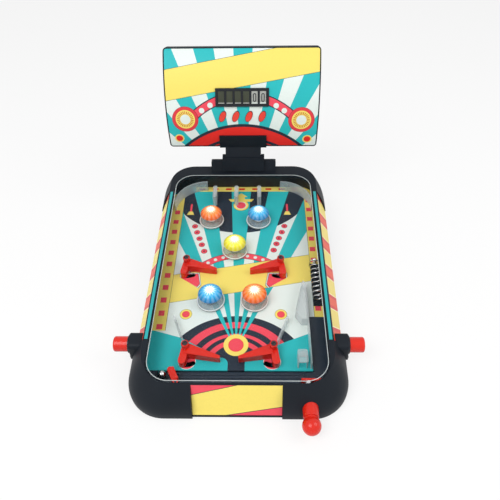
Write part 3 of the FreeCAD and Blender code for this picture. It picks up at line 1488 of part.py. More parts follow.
# Scoreboard frame: e_up runs from the foot of its face to the top, e_back square to that
E_UP = V(0, math.sin(BOARD_LEAN), math.cos(BOARD_LEAN))
E_BACK = V(0, math.cos(BOARD_LEAN), -math.sin(BOARD_LEAN))
FOOT = V(0, BOARD_FOOT[0], BOARD_FOOT[1])
CHORD = math.hypot(BOARD_TOP[0] - BOARD_FOOT[0], BOARD_TOP[1] - BOARD_FOOT[1])
FACE_RADIUS = (CHORD**2 / 4 + BOARD_BULGE**2) / (2 * BOARD_BULGE)
FACE_HALF = math.asin(CHORD / 2 / FACE_RADIUS)
FACE_CENTRE = FOOT + E_UP * (CHORD / 2) + E_BACK * (FACE_RADIUS - BOARD_BULGE)


def face_point(x, arc, depth=0.0):
    """A place on the scoreboard's face: arc is the length up the curve, depth goes inwards."""
    angle = arc / FACE_RADIUS - FACE_HALF
    radius = FACE_RADIUS - depth
    place = FACE_CENTRE - E_BACK * (radius * math.cos(angle)) + E_UP * (radius * math.sin(angle))
    return place + V(x, 0, 0)


def face_normal(arc):
    """The outward direction of the scoreboard's face at an arc length."""
    angle = arc / FACE_RADIUS - FACE_HALF
    return E_UP * math.sin(angle) - E_BACK * math.cos(angle)


def face_slab(half, low, high, near, far):
    """A curved plate that follows the face between two arc lengths and two depths."""
    mid = (low + high) / 2
    edges = [
        Part.Arc(face_point(-half, low, near), face_point(-half, mid, near), face_point(-half, high, near)).toShape(),
        Part.LineSegment(face_point(-half, high, near), face_point(-half, high, far)).toShape(),
        Part.Arc(face_point(-half, high, far), face_point(-half, mid, far), face_point(-half, low, far)).toShape(),
        Part.LineSegment(face_point(-half, low, far), face_point(-half, low, near)).toShape(),
    ]
    return Part.Face(Part.Wire(edges)).extrude(V(2 * half, 0, 0))


FACE_LENGTH = 2 * FACE_RADIUS * FACE_HALF


def board_profile(inset):
    """The side outline of the scoreboard's body, pulled in by an inset."""
    low = inset
    high = FACE_LENGTH - inset
    mid = (low + high) / 2
    front = [face_point(0, arc, inset) for arc in (low, mid, high)]
    back_foot = FOOT + E_BACK * (BOARD_DEPTH - inset) + E_UP * inset
    back_top = FOOT + E_BACK * (BOARD_DEPTH - inset) + E_UP * (CHORD - inset)
    edges = [
        Part.Arc(front[0], front[1], front[2]).toShape(),
        Part.LineSegment(front[2], back_top).toShape(),
        Part.LineSegment(back_top, back_foot).toShape(),
        Part.LineSegment(back_foot, front[0]).toShape(),
    ]
    return Part.Face(Part.Wire(edges))


def board_outline(inset):
    """A block through the scoreboard with rounded corners, pulled in by an inset."""
    block = ring_prism(
        BOARD_HALF - inset, inset, CHORD - inset, BOARD_CORNER - inset, -BOARD_DEPTH - OVER, DEEP
    )
    block.Placement = Placement(FOOT, Rotation(V(1, 0, 0), 90 - math.degrees(BOARD_LEAN)))
    return block


def scoreboard_housing():
    """The scoreboard's shell, with a seat in front for the printed face."""
    outer = board_profile(0)
    outer.translate(V(-BOARD_HALF, 0, 0))
    body = outer.extrude(V(2 * BOARD_HALF, 0, 0))
    body = round_edges(
        body,
        BOARD_ROUND,
        lambda e: abs(e.BoundBox.XLength) < OVER and board_back_edge(e),
    )
    body = body.common(board_outline(0))
    inner = board_profile(BOARD_WALL)
    inner.translate(V(BOARD_WALL - BOARD_HALF, 0, 0))
    body = body.cut(inner.extrude(V(2 * (BOARD_HALF - BOARD_WALL), 0, 0)))
    seat = face_slab(BOARD_HALF, 0, FACE_LENGTH, -OVER, FACE_THICKNESS)
    body = body.cut(seat.common(board_outline(FACE_EDGE)))
    return cut_face_openings(body)


def board_back_edge(edge):
    """True for the upright edges at the scoreboard's back."""
    middle = edge.BoundBox.Center - FOOT
    middle.x = 0
    return middle.dot(E_BACK) > BOARD_DEPTH - OVER


def display_block(margin, near, far):
    """A flat block square to the face at the display, grown by a margin."""
    arc = (DISPLAY_LOW + DISPLAY_HIGH) / 2
    half_x = DISPLAY_WIDTH / 2 + margin
    half_up = (DISPLAY_HIGH - DISPLAY_LOW) / 2 + margin
    block = box(V(-half_x, -half_up, near), V(half_x, half_up, far))
    return on_face(block, 0, arc)


def on_face(shape, x, arc):
    """Lays a shape drawn on X across, Y up the face and Z outwards onto the face."""
    out = face_normal(arc)
    lean = math.degrees(math.atan2(-out.y, out.z))
    place = face_point(x, arc)
    shape.Placement = Placement(place, Rotation(V(1, 0, 0), lean)).multiply(shape.Placement)
    return shape


def lens_solid(x, grow, near, far):
    """An oval drum square to the face, leaning to the right."""
    ellipse = Part.Ellipse(V(0, 0, near), LENS_LONG + grow, LENS_SHORT + grow)
    face = Part.Face(Part.Wire(ellipse.toShape()))
    drum = face.extrude(V(0, 0, far - near))
    drum.rotate(V(0, 0, 0), V(0, 0, 1), 90 - LENS_LEAN)
    return on_face(drum, x, LENS_ARC)


def lens_places():
    """The four lenses' places across the face."""
    return [(index - (LENS_COUNT - 1) / 2) * LENS_PITCH for index in range(LENS_COUNT)]


def cut_face_openings(body):
    """Opens the seat behind the face for the display and the lenses."""
    body = body.cut(display_block(FIT, -DISPLAY_DEPTH - OVER, OVER))
    for x in lens_places():
        body = body.cut(lens_solid(x, FIT, -LENS_SINK - OVER, LENS_SINK))
    return body


def scoreboard_face():
    """The printed curved face, a thin sheet in the shell's seat."""
    sheet = face_slab(BOARD_HALF, 0, FACE_LENGTH, 0, FACE_THICKNESS)
    return cut_face_openings(sheet.common(board_outline(FACE_EDGE + FIT / 2)))


def score_display():
    """The display: a black frame with six sunk windows."""
    body = display_block(0, -DISPLAY_DEPTH, DISPLAY_PROUD)
    arc = (DISPLAY_LOW + DISPLAY_HIGH) / 2
    inner = DISPLAY_WIDTH - 2 * DISPLAY_FRAME
    pitch = (inner + DISPLAY_BAR) / DISPLAY_WINDOWS
    half_up = (DISPLAY_HIGH - DISPLAY_LOW) / 2 - DISPLAY_FRAME
    for index in range(DISPLAY_WINDOWS):
        left = -inner / 2 + index * pitch
        window = box(
            V(left, -half_up, DISPLAY_PROUD - DISPLAY_SINK), V(left + pitch - DISPLAY_BAR, half_up, DISPLAY_PROUD + OVER)
        )
        body = body.cut(on_face(window, 0, arc))
    return body


def score_lenses():
    """Four red lenses in a row under the display."""
    return [lens_solid(x, 0, -LENS_SINK, LENS_PROUD) for x in lens_places()]


def scoreboard_neck():
    """The neck: a front clip plate, a body and the tongue that goes down into the socket."""
    clip = face_slab(CLIP_HALF, 0, CLIP_HEIGHT, -CLIP_THICKNESS - SEAT_GAP, -SEAT_GAP)
    neck = box(V(-NECK_HALF, 0, -NECK_LENGTH), V(NECK_HALF, NECK_DEPTH, 0))
    lean = Rotation(V(1, 0, 0), -math.degrees(BOARD_LEAN))
    neck.Placement = Placement(FOOT - E_BACK * CLIP_THICKNESS - E_UP * SEAT_GAP, lean)
    return fuse(clip, neck)


def scoreboard_socket():
    """The socket on the rear rim: a wide base, a cowl in front and the pocket for the tongue."""
    top = SOCKET_FRONT + SOCKET_LEAN
    back = SOCKET_FRONT + SOCKET_LENGTH
    outline = (
        (SOCKET_FRONT, 0),
        (top, SOCKET_HEIGHT),
        (top + SOCKET_TOP_LENGTH, SOCKET_HEIGHT),
        (back, SOCKET_HEEL),
        (back, 0),
    )
    base = side_prism(outline, SOCKET_HALF)
    base = round_edges(
        base,
        SOCKET_ROUND,
        lambda e: e.BoundBox.XLength < OVER
        and e.BoundBox.ZMin > SOCKET_HEIGHT - OVER
        and e.BoundBox.YLength > OVER,
    )
    front = SOCKET_FRONT - COWL_PROUD
    top = front + COWL_LEAN
    outline = (
        (front, COWL_FOOT),
        (top, COWL_HEIGHT),
        (top + COWL_TOP_LENGTH, COWL_HEIGHT),
        (front + COWL_LENGTH, COWL_HEEL),
        (front + COWL_LENGTH, COWL_FOOT),
    )
    cowl = side_prism(outline, COWL_HALF)
    body = fuse(base, cowl)
    pocket = box(
        V(-NECK_HALF - FIT, -FIT, -NECK_LENGTH - FIT), V(NECK_HALF + FIT, NECK_DEPTH + FIT, OVER)
    )
    lean = Rotation(V(1, 0, 0), -math.degrees(BOARD_LEAN))
    pocket.Placement = Placement(FOOT - E_BACK * CLIP_THICKNESS - E_UP * SEAT_GAP, lean)
    return body.cut(pocket)


def battery_place(index):
    """Centre line start of one battery: x, u and height over the table."""
    low, _ = battery_bay()
    x = low[0] + BATTERY_PITCH * (index + 1 / 2)
    u = low[1] + BOX_END_SPACE / 2
    return x, u, BASE_FOOT_GAP + DOOR_THICKNESS + FIT + BATTERY_RADIUS


def battery_cell(index):
    """One round cell with its nub, turned about on every second place."""
    x, u, z = battery_place(index)
    cell = rod(V(0, 0, 0), BATTERY_RADIUS, BATTERY_LENGTH, V(0, 1, 0))
    nub = rod(V(0, BATTERY_LENGTH, 0), BATTERY_NUB_RADIUS, BATTERY_NUB, V(0, 1, 0))
    cell = fuse(cell, nub)
    if index % 2:
        cell.rotate(V(0, (BATTERY_LENGTH + BATTERY_NUB) / 2, 0), V(0, 0, 1), 180)
    cell.translate(V(x, u + SHIFT_Y, z))
    cell.Placement = STANCE.inverse().multiply(cell.Placement)
    return cell


def battery_box():
    """The walls and lid of the battery bay, standing over the door's opening."""
    low, high = battery_bay()
    floor = BASE_FOOT_GAP + BASE_WALL
    top = BASE_FOOT_GAP + DOOR_THICKNESS + 2 * BATTERY_RADIUS + 2 * FIT
    wide = DOOR_MARGIN + 2 * BOX_WALL
    outer = floor_slab(
        (low[0] - wide, low[1] - wide), (high[0] + wide, high[1] + wide), floor, top + BOX_WALL
    )
    inner = floor_slab(low, high, floor - OVER, top)
    margin = floor_slab(
        (low[0] - DOOR_MARGIN, low[1] - DOOR_MARGIN),
        (high[0] + DOOR_MARGIN, high[1] + DOOR_MARGIN),
        floor - OVER,
        floor + FIT,
    )
    return outer.cut(inner).cut(margin)


def battery_contacts():
    """Thin sprung plates at both ends of every cell."""
    low, high = battery_bay()
    plates = []
    for index in range(BATTERY_COUNT):
        x, _, z = battery_place(index)
        for u in (low[1], high[1] - CONTACT_THICKNESS):
            plates.append(
                floor_slab(
                    (x - CONTACT_HALF, u),
                    (x + CONTACT_HALF, u + CONTACT_THICKNESS),
                    z - CONTACT_HALF,
                    z + CONTACT_HALF,
                )
            )
    return plates


def battery_door():
    """The screwed door under the batteries, flush with the base's floor."""
    low, high = door_corners()
    door = floor_slab(low, high, BASE_FOOT_GAP, BASE_FOOT_GAP + DOOR_THICKNESS)
    return door


def speaker():
    """The round speaker over the sound holes."""
    floor = BASE_FOOT_GAP + BASE_WALL
    rim = floor_rod(SPEAKER_X, SPEAKER_U, SPEAKER_RADIUS, floor, floor + SPEAKER_HEIGHT / 4)
    profile = Part.makeCone(
        SPEAKER_RADIUS * 0.9,
        SPEAKER_MAGNET_RADIUS,
        SPEAKER_HEIGHT / 3,
        V(SPEAKER_X, SPEAKER_U + SHIFT_Y, floor + SPEAKER_HEIGHT / 4),
    )
    profile.Placement = STANCE.inverse().multiply(profile.Placement)
    magnet = floor_rod(
        SPEAKER_X,
        SPEAKER_U,
        SPEAKER_MAGNET_RADIUS,
        floor + SPEAKER_HEIGHT / 4 + SPEAKER_HEIGHT / 3,
        floor + SPEAKER_HEIGHT,
    )
    return fuse(rim, profile, magnet)


def main_board():
    """The circuit board on four short posts, with its chip."""
    floor = BASE_FOOT_GAP + BASE_WALL
    low = floor + PCB_LIFT
    board = floor_slab(
        (PCB_X - PCB_HALF_X, PCB_U - PCB_HALF_U), (PCB_X + PCB_HALF_X, PCB_U + PCB_HALF_U), low, low + PCB_THICKNESS
    )
    chip = floor_slab(
        (PCB_X - CHIP_HALF, PCB_U - CHIP_HALF),
        (PCB_X + CHIP_HALF, PCB_U + CHIP_HALF),
        low + PCB_THICKNESS,
        low + PCB_THICKNESS + CHIP_HEIGHT,
    )
    inset = BOSS_RADIUS
    posts = [
        floor_rod(PCB_X + sx * (PCB_HALF_X - inset), PCB_U + su * (PCB_HALF_U - inset), BOSS_RADIUS / 2, floor, low)
        for sx in (-1, 1)
        for su in (-1, 1)
    ]
    return fuse(board, chip, *posts)


def power_switch():
    """The knob of the slide switch in the base's back wall."""
    w = deck_depth(BASE_BACK, SWITCH_Z)
    x = SWITCH_X - SWITCH_TRAVEL / 2
    half = SWITCH_KNOB_HALF
    knob = box(
        V(x - half, BASE_BACK - BASE_WALL - FIT, w - SWITCH_SLOT_HEIGHT / 2 + FIT),
        V(x + half, BASE_BACK + SWITCH_PROUD, w + SWITCH_SLOT_HEIGHT / 2 - FIT),
    )
    return knob


def switch_body():
    """The fixed body of the slide switch, behind the back wall."""
    w = deck_depth(BASE_BACK, SWITCH_Z)
    half = SWITCH_SLOT_HALF + BASE_WALL
    high = SWITCH_SLOT_HEIGHT / 2 + BASE_WALL
    back = BASE_BACK - BASE_WALL
    body = box(V(SWITCH_X - half, back - SWITCH_BODY_DEPTH, w - high), V(SWITCH_X + half, back, w + high))
    pocket = box(
        V(SWITCH_X - SWITCH_SLOT_HALF, back - 2 * FIT, w - SWITCH_SLOT_HEIGHT / 2),
        V(SWITCH_X + SWITCH_SLOT_HALF, back + OVER, w + SWITCH_SLOT_HEIGHT / 2),
    )
    return body.cut(pocket)


def rubber_feet():
    """Four round feet, part sunk in the base."""
    return [floor_rod(x, u, FOOT_RADIUS, 0, BASE_FOOT_GAP + FOOT_SINK) for x, u in foot_places()]


def deck_screws():
    """The screws that hold the deck's stubs down on the base's bosses, from below."""
    screws = []
    seat = STUB_END - SCREW_SEAT
    for x, u in boss_places():
        head = rod(V(x, u, seat - SCREW_HEAD_HEIGHT), SCREW_HEAD_RADIUS, SCREW_HEAD_HEIGHT)
        shank = rod(V(x, u, seat), BOSS_SCREW_RADIUS, SCREW_SEAT + STUB_LENGTH - 2 * OVER)
        screws.append(fuse(head, shank))
    return screws


def build():
    """Makes every node of the game."""
    os.makedirs("parts", exist_ok=True)
    front = bulged_shell().common(span(-DEEP, FRONT_END))
    middle = flat_shell(0).common(span(FRONT_END, REAR_END))
    rear = rear_shell().common(span(REAR_END, 2 * DEEP))
    save("rim_frame", rim_frame(front, middle, rear))
    save("window_cover", window_cover())
    save("front_fascia", front_fascia(front))
    save("rear_fascia", rear_fascia(rear))
    save("front_label", front_label())
    save("lower_housing", lower_housing())
    save("playfield", playfield())
    save("ball_trough", ball_trough())
    for name, side in (("left", -1), ("right", 1)):
        save("side_panel_" + name, side_panel(middle, side))
        save("button_housing_" + name, button_housing(side, front, middle))
        save("button_cap_" + name, button_cap(side))
        save("return_spring_" + name, return_spring(side))
    strips = [strip_box(side, -STRIP_SINK, STRIP_THICKNESS - STRIP_SINK) for side in (-1, 1)]
    save("trim_strips", *strips)
    save("link_bar_left", link_bar(-1, LEFT_SPINE, (LOWER_LEFT_PIVOT, UPPER_LEFT_PIVOT)))
    save("link_bar_right", link_bar(1, RIGHT_SPINE, (LOWER_RIGHT_PIVOT, UPPER_RIGHT_PIVOT)))
    for name, (pivot, side) in FLIPPERS.items():
        save("flipper_" + name, flipper(pivot, side))
    save("flipper_pivots", *flipper_pivots())
    for name, (x, u) in BUMPER_PLACES.items():
        save("bumper_skirt_" + name, bumper_skirt(x, u))
    for colour, names in CAP_COLOURS.items():
        save("bumper_caps_" + colour, *[bumper_cap(*BUMPER_PLACES[name]) for name in names])
    save("bumper_stems", *[bumper_stem(x, u) for x, u in BUMPER_PLACES.values()])
    save("bumper_lamps", *[bumper_lamp(x, u) for x, u in BUMPER_PLACES.values()])
    save("top_guides", *top_lane_guides(), *corner_guides())
    save("lane_divider", lane_divider(), return_gate())
    left_guide = inlane_guide(INLANE_LEFT_BACK, INLANE_LEFT_FRONT)
    save("inlane_guides", left_guide, inlane_guide(INLANE_RIGHT_BACK, INLANE_RIGHT_FRONT))
    save("lane_coil", lane_coil())
    save("coil_post", coil_post())
    save("plunger_knob", plunger_knob())
    save("plunger_rod", plunger_rod())
    save("plunger_collar", plunger_collar())
    save("plunger_spring", plunger_spring())
    save("release_lever", release_lever())
    save("steel_ball", steel_ball())
    save("scoreboard_housing", scoreboard_housing())
    save("scoreboard_face", scoreboard_face())
    save("score_display", score_display())
    save("score_lenses", *score_lenses())
    save("scoreboard_neck", scoreboard_neck())
    save("scoreboard_socket", scoreboard_socket())
    save("batteries", *[battery_cell(index) for index in range(BATTERY_COUNT)])
    save("battery_box", battery_box())
    save("battery_contacts", *battery_contacts())
    save("battery_door", battery_door())
    save("speaker", speaker())
    save("main_board", main_board())
    save("power_switch", power_switch())
    save("rubber_feet", *rubber_feet())
    save("deck_screws", *deck_screws())
    print("button travel", round(BUTTON_TRAVEL, 3), "shift", round(SHIFT_Y, 3))


build()
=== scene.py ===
"""Looks of a tabletop pinball game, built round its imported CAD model."""

import json
import logging
import math
from dataclasses import dataclass
from enum import Enum
from functools import cache

import bpy
from mathutils import Matrix, Vector


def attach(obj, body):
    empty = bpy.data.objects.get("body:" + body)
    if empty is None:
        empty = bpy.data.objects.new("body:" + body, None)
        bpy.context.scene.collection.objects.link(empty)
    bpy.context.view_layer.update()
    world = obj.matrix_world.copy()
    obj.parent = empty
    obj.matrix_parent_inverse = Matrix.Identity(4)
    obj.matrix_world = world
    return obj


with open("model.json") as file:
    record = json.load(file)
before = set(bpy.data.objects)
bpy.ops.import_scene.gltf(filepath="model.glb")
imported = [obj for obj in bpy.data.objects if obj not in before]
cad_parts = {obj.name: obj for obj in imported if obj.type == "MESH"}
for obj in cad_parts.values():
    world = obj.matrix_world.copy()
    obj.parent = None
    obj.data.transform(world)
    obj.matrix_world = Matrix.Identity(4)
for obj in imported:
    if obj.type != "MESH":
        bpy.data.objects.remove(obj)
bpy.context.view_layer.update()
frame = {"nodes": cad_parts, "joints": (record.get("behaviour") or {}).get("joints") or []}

MM = 0.001
SMOOTH_ANGLE = math.radians(35)
LOG = logging.getLogger("pinball")


@dataclass(frozen=True)
class Deck:
    """The deck's own frame, in millimetres: x right, u up the slope, w square to the deck."""

    tilt_deg: float = 6.5
    front_height: float = 51.2
    surface: float = -34.0
    pivot_u: float = 63.4

    @property
    def tilt(self) -> float:
        """Returns the deck's lean in radians."""
        return math.radians(self.tilt_deg)

    @property
    def shift(self) -> float:
        """Works out how far the frame is moved along Y.

        Returns:
            The distance in millimetres, read from a flipper's joint.
        """
        joint = next(j for j in frame["joints"] if j["name"] == "flipper_lower_left_pivot")
        slope = self.pivot_u * math.cos(self.tilt) - self.surface * math.sin(self.tilt)
        return joint["pos_m"][1] / MM - slope

    def turn(self) -> Matrix:
        """Returns the turn from the deck's frame to the row frame."""
        return Matrix.Rotation(self.tilt, 4, "X")

    def place(self, x: float, u: float, w: float) -> Vector:
        """Takes a place on the deck to the row frame.

        Args:
            x, u, w: The place in the deck's frame, in millimetres.

        Returns:
            The place in metres.
        """
        offset = Vector((0, self.shift, self.front_height))
        return (self.turn() @ Vector((x, u, w)) + offset) * MM

    def matrix(self) -> Matrix:
        """Returns the matrix from deck millimetres to row metres."""
        offset = Matrix.Translation((0, self.shift, self.front_height))
        return Matrix.Scale(MM, 4) @ offset @ self.turn()


@dataclass(frozen=True)
class Board:
    """The scoreboard's face: an arc from its foot to its top, in deck millimetres."""

    foot: tuple[float, float] = (406.0, 42.0)
    top: tuple[float, float] = (461.0, 185.5)
    bulge: float = 20.0

    @property
    def chord(self) -> float:
        """Returns the straight length from the foot to the top."""
        return math.dist(self.foot, self.top)

    @property
    def radius(self) -> float:
        """Returns the radius of the face's arc."""
        return (self.chord**2 / 4 + self.bulge**2) / (2 * self.bulge)

    @property
    def half_angle(self) -> float:
        """Returns half of the angle that the arc spans."""
        return math.asin(self.chord / 2 / self.radius)

    @property
    def lean(self) -> float:
        """Returns how far the chord leans back from the deck's normal."""
        return math.atan2(self.top[0] - self.foot[0], self.top[1] - self.foot[1])

    def frame(self) -> Matrix:
        """Places the centre of the face's arc.

        Returns:
            Its matrix: X right, Y up the chord, Z out of the face.
        """
        up = Vector((0, math.sin(self.lean), math.cos(self.lean)))
        out = Vector((0, -math.cos(self.lean), math.sin(self.lean)))
        middle = Vector((0, self.foot[0], self.foot[1])) + up * self.chord / 2
        centre = middle - out * (self.radius - self.bulge)
        turn = Matrix((Vector((1, 0, 0)), up, out)).transposed().to_4x4()
        return Matrix.Translation(centre) @ turn

    def spot(self, x: float, arc: float) -> Matrix:
        """Finds a place on the face.

        Args:
            x: Millimetres to the right of the middle.
            arc: Millimetres up the curve from its foot.

        Returns:
            The matrix of that place, with Z out of the face, in deck millimetres.
        """
        angle = arc / self.radius - self.half_angle
        out = Matrix.Rotation(-angle, 4, "X")
        return self.frame() @ out @ Matrix.Translation((x, 0, self.radius))


DECK = Deck()
BOARD = Board()


def linear(code: str, alpha: float = 1.0) -> tuple[float, float, float, float]:
    """Turns an sRGB hex colour to linear.

    Args:
        code: Six hex digits.
        alpha: The fourth number.

    Returns:
        The linear colour.
    """
    shares = [int(code[start : start + 2], 16) / 255 for start in (0, 2, 4)]
    red, green, blue = [
        share / 12.92 if share <= 0.04045 else ((share + 0.055) / 1.055) ** 2.4 for share in shares
    ]
    return red, green, blue, alpha


def add_node(
    tree: bpy.types.NodeTree, kind: str, inputs: dict | tuple = (), **settings
) -> bpy.types.Node:
    """Adds a node with its settings and links.

    Args:
        tree: The node tree.
        kind: The node's type without its prefix.
        inputs: Values or sockets for the node's inputs, in order or by key.
        settings: The node's own properties.

    Returns:
        The node.
    """
    node = tree.nodes.new("ShaderNode" + kind)
    for name, value in settings.items():
        setattr(node, name, value)
    for key, value in inputs.items() if isinstance(inputs, dict) else enumerate(inputs):
        if isinstance(value, bpy.types.NodeSocket):
            tree.links.new(value, node.inputs[key])
        elif value is not None:
            node.inputs[key].default_value = value
    return node


def new_material(name: str) -> tuple[bpy.types.Material, bpy.types.NodeTree]:
    """Makes an empty node material.

    Args:
        name: The material's name.

    Returns:
        The material and its cleared tree.
    """
    material = bpy.data.materials.new(name)
    material.use_nodes = True
    material.node_tree.nodes.clear()
    return material, material.node_tree


def finish_material(tree: bpy.types.NodeTree, shader: bpy.types.NodeSocket) -> None:
    """Links a shader to the material's output."""
    add_node(tree, "OutputMaterial", {"Surface": shader})


def millimetres(tree: bpy.types.NodeTree) -> bpy.types.NodeSocket:
    """Gives the object's coordinates in millimetres."""
    coords = add_node(tree, "TexCoord").outputs["Object"]
    return add_node(tree, "Mapping", {"Vector": coords, "Scale": (1 / MM,) * 3}).outputs[0]


def deck_place(tree: bpy.types.NodeTree) -> bpy.types.NodeSocket:
    """Gives the place in the deck's frame, from the object's coordinates.

    Args:
        tree: The material's node tree.

    Returns:
        The place in millimetres.
    """
    back = DECK.matrix().inverted()
    coords = add_node(tree, "TexCoord").outputs["Object"]
    return add_node(
        tree,
        "Mapping",
        {
            "Vector": coords,
            "Location": back.to_translation(),
            "Rotation": (-DECK.tilt, 0.0, 0.0),
            "Scale": (1 / MM,) * 3,
        },
    ).outputs[0]


@dataclass(frozen=True)
class MouldedPlastic:
    """Injection-moulded plastic: an even colour whose fine mould grain softens its shine.

    The colour drifts to light over patch_mm, the grain is grain_mm across and grain_depth deep,
    coat is a film or polish over it, and level scales how much it mirrors.
    """

    name: str
    colour: str
    light: str
    roughness: float = 0.42
    grain_mm: float = 0.7
    grain_depth: float = 0.02
    patch_mm: float = 45.0
    coat: float = 0.0
    level: float = 0.3
    coat_roughness: float = 0.12
    spread: float = 0.15
    ior: float = 1.53

    def build(self) -> bpy.types.Material:
        """Builds the finish's nodes.

        Returns:
            The finished material.
        """
        material, tree = new_material(self.name)
        place = millimetres(tree)
        # flow marks: a slow change of tone over a few centimetres
        patch = add_node(
            tree, "TexNoise", {"Vector": place, "Scale": 1 / self.patch_mm, "Detail": 3.0}
        )
        tone = add_node(
            tree,
            "Mix",
            {0: patch.outputs["Fac"], 6: linear(self.colour), 7: linear(self.light)},
            data_type="RGBA",
        )
        # the mould's spark-eroded grain, drawn coarser than the real one so that it shows
        grain = add_node(
            tree, "TexNoise", {"Vector": place, "Scale": 1 / self.grain_mm, "Detail": 2.0}
        )
        rough = add_node(
            tree,
            "MapRange",
            {
                "Value": grain.outputs["Fac"],
                "To Min": self.roughness * (1 - self.spread),
                "To Max": self.roughness * (1 + self.spread),
            },
        )
        bump = add_node(
            tree,
            "Bump",
            {"Height": grain.outputs["Fac"], "Distance": self.grain_depth * MM, "Strength": 0.6},
        )
        shader = add_node(
            tree,
            "BsdfPrincipled",
            {
                "Base Color": tone.outputs[2],
                "Roughness": rough.outputs[0],
                "Normal": bump.outputs[0],
                "IOR": self.ior,
                "Specular IOR Level": self.level,
                "Coat Weight": self.coat,
                "Coat Roughness": self.coat_roughness,
            },
        )
        finish_material(tree, shader.outputs[0])
        return material


@dataclass(frozen=True)
class ClearPlastic:
    """Polished clear plastic: it shows what is behind it, and its edges catch the light.

    A share of body shows when it is seen square on, and a share of edge where it turns away.
    """

    name: str
    tint: str
    body: float = 0.05
    edge: float = 0.55
    roughness: float = 0.06
    ripple_mm: float = 18.0
    ripple_depth: float = 0.05
    blend: float = 0.3
    level: float = 0.5
    ior: float = 1.49

    def build(self) -> bpy.types.Material:
        """Builds the finish's nodes.

        Returns:
            The finished material.
        """
        material, tree = new_material(self.name)
        place = millimetres(tree)
        # the cooling plastic shrinks a little unevenly, so its reflections wander
        ripple = add_node(
            tree, "TexNoise", {"Vector": place, "Scale": 1 / self.ripple_mm, "Detail": 2.0}
        )
        bump = add_node(
            tree, "Bump", {"Height": ripple.outputs["Fac"], "Distance": self.ripple_depth * MM}
        )
        weight = add_node(tree, "LayerWeight", {"Blend": self.blend, "Normal": bump.outputs[0]})
        share = add_node(
            tree,
            "MapRange",
            {"Value": weight.outputs["Facing"], "To Min": self.body, "To Max": self.edge},
        )
        solid = add_node(
            tree,
            "BsdfPrincipled",
            {
                "Base Color": linear(self.tint),
                "Roughness": self.roughness,
                "IOR": self.ior,
                "Specular IOR Level": self.level,
                "Normal": bump.outputs[0],
            },
        )
        through = add_node(tree, "BsdfTransparent", {"Color": linear("FFFFFF")})
        mix = add_node(tree, "MixShader", (share.outputs[0], through.outputs[0], solid.outputs[0]))
        finish_material(tree, mix.outputs[0])
        return material


@dataclass(frozen=True)
class LitCap:
    """Tinted clear polystyrene over a lamp: white at the lamp, and deep at the dome's rim."""

    name: str
    colour: str
    deep: str
    glow: str
    centres: tuple[tuple[float, float], ...]
    radius: float = 16.5
    hot: float = 9.5
    white: float = 1.5
    rim_share: float = 0.6
    strength: float = 0.9
    base_glow: float = 0.42
    facets: float = 14.0
    facet_reach: float = 2.2
    spoke: float = 0.05
    roughness: float = 0.12
    ior: float = 1.59
    level: float = 0.25

    def build(self) -> bpy.types.Material:
        """Builds the finish's nodes.

        Returns:
            The finished material.
        """
        material, tree = new_material(self.name)
        flat = add_node(
            tree, "VectorMath", (deck_place(tree), (1.0, 1.0, 0.0)), operation="MULTIPLY"
        ).outputs[0]
        offsets = [
            add_node(tree, "VectorMath", (flat, (x, u, 0.0)), operation="SUBTRACT").outputs[0]
            for x, u in self.centres
        ]
        offset = offsets[0]
        away = add_node(tree, "VectorMath", (offset,), operation="LENGTH").outputs["Value"]
        for other in offsets[1:]:
            far = add_node(tree, "VectorMath", (other,), operation="LENGTH").outputs["Value"]
            nearer = add_node(tree, "Math", (far, away), operation="LESS_THAN").outputs[0]
            offset = add_node(
                tree, "Mix", {0: nearer, 4: offset, 5: other}, data_type="VECTOR"
            ).outputs[1]
            away = add_node(tree, "Math", (away, far), operation="MINIMUM").outputs[0]
        split = add_node(tree, "SeparateXYZ", (offset,)).outputs
        angle = add_node(tree, "Math", (split[0], split[1]), operation="ARCTAN2").outputs[0]
        # radial facets inside the dome break the lamp's light into rays
        turn = add_node(tree, "Math", (angle, self.facets), operation="MULTIPLY").outputs[0]
        rays = add_node(tree, "Math", (turn,), operation="SINE").outputs[0]
        reach = add_node(
            tree, "Math", (rays, self.facet_reach, away), operation="MULTIPLY_ADD"
        ).outputs[0]
        heat = add_node(
            tree,
            "MapRange",
            {
                "Value": reach,
                "From Min": self.white,
                "From Max": self.hot,
                "To Min": 1.0,
                "To Max": 0.0,
            },
            interpolation_type="SMOOTHSTEP",
        ).outputs[0]
        rim = add_node(
            tree,
            "MapRange",
            {
                "Value": away,
                "From Min": self.radius * self.rim_share,
                "From Max": self.radius,
                "To Min": 0.0,
                "To Max": 1.0,
            },
            interpolation_type="SMOOTHSTEP",
        ).outputs[0]
        body = add_node(
            tree, "Mix", {0: rim, 6: linear(self.colour), 7: linear(self.deep)}, data_type="RGBA"
        ).outputs[2]
        # the same facets show as pale spokes out to the dome's bead
        spoke = add_node(
            tree, "Math", (rays, self.spoke, self.spoke), operation="MULTIPLY_ADD"
        ).outputs[0]
        body = add_node(
            tree, "Mix", {0: spoke, 6: body, 7: linear(self.glow)}, data_type="RGBA"
        ).outputs[2]
        tone = add_node(
            tree, "Mix", {0: heat, 6: body, 7: linear(self.glow)}, data_type="RGBA"
        ).outputs[2]
        power = add_node(
            tree, "Math", (heat, self.strength, self.base_glow), operation="MULTIPLY_ADD"
        ).outputs[0]
        shader = add_node(
            tree,
            "BsdfPrincipled",
            {
                "Base Color": tone,
                "Roughness": self.roughness,
                "IOR": self.ior,
                "Specular IOR Level": self.level,
                "Emission Color": tone,
                "Emission Strength": power,
            },
        )
        finish_material(tree, shader.outputs[0])
        return material


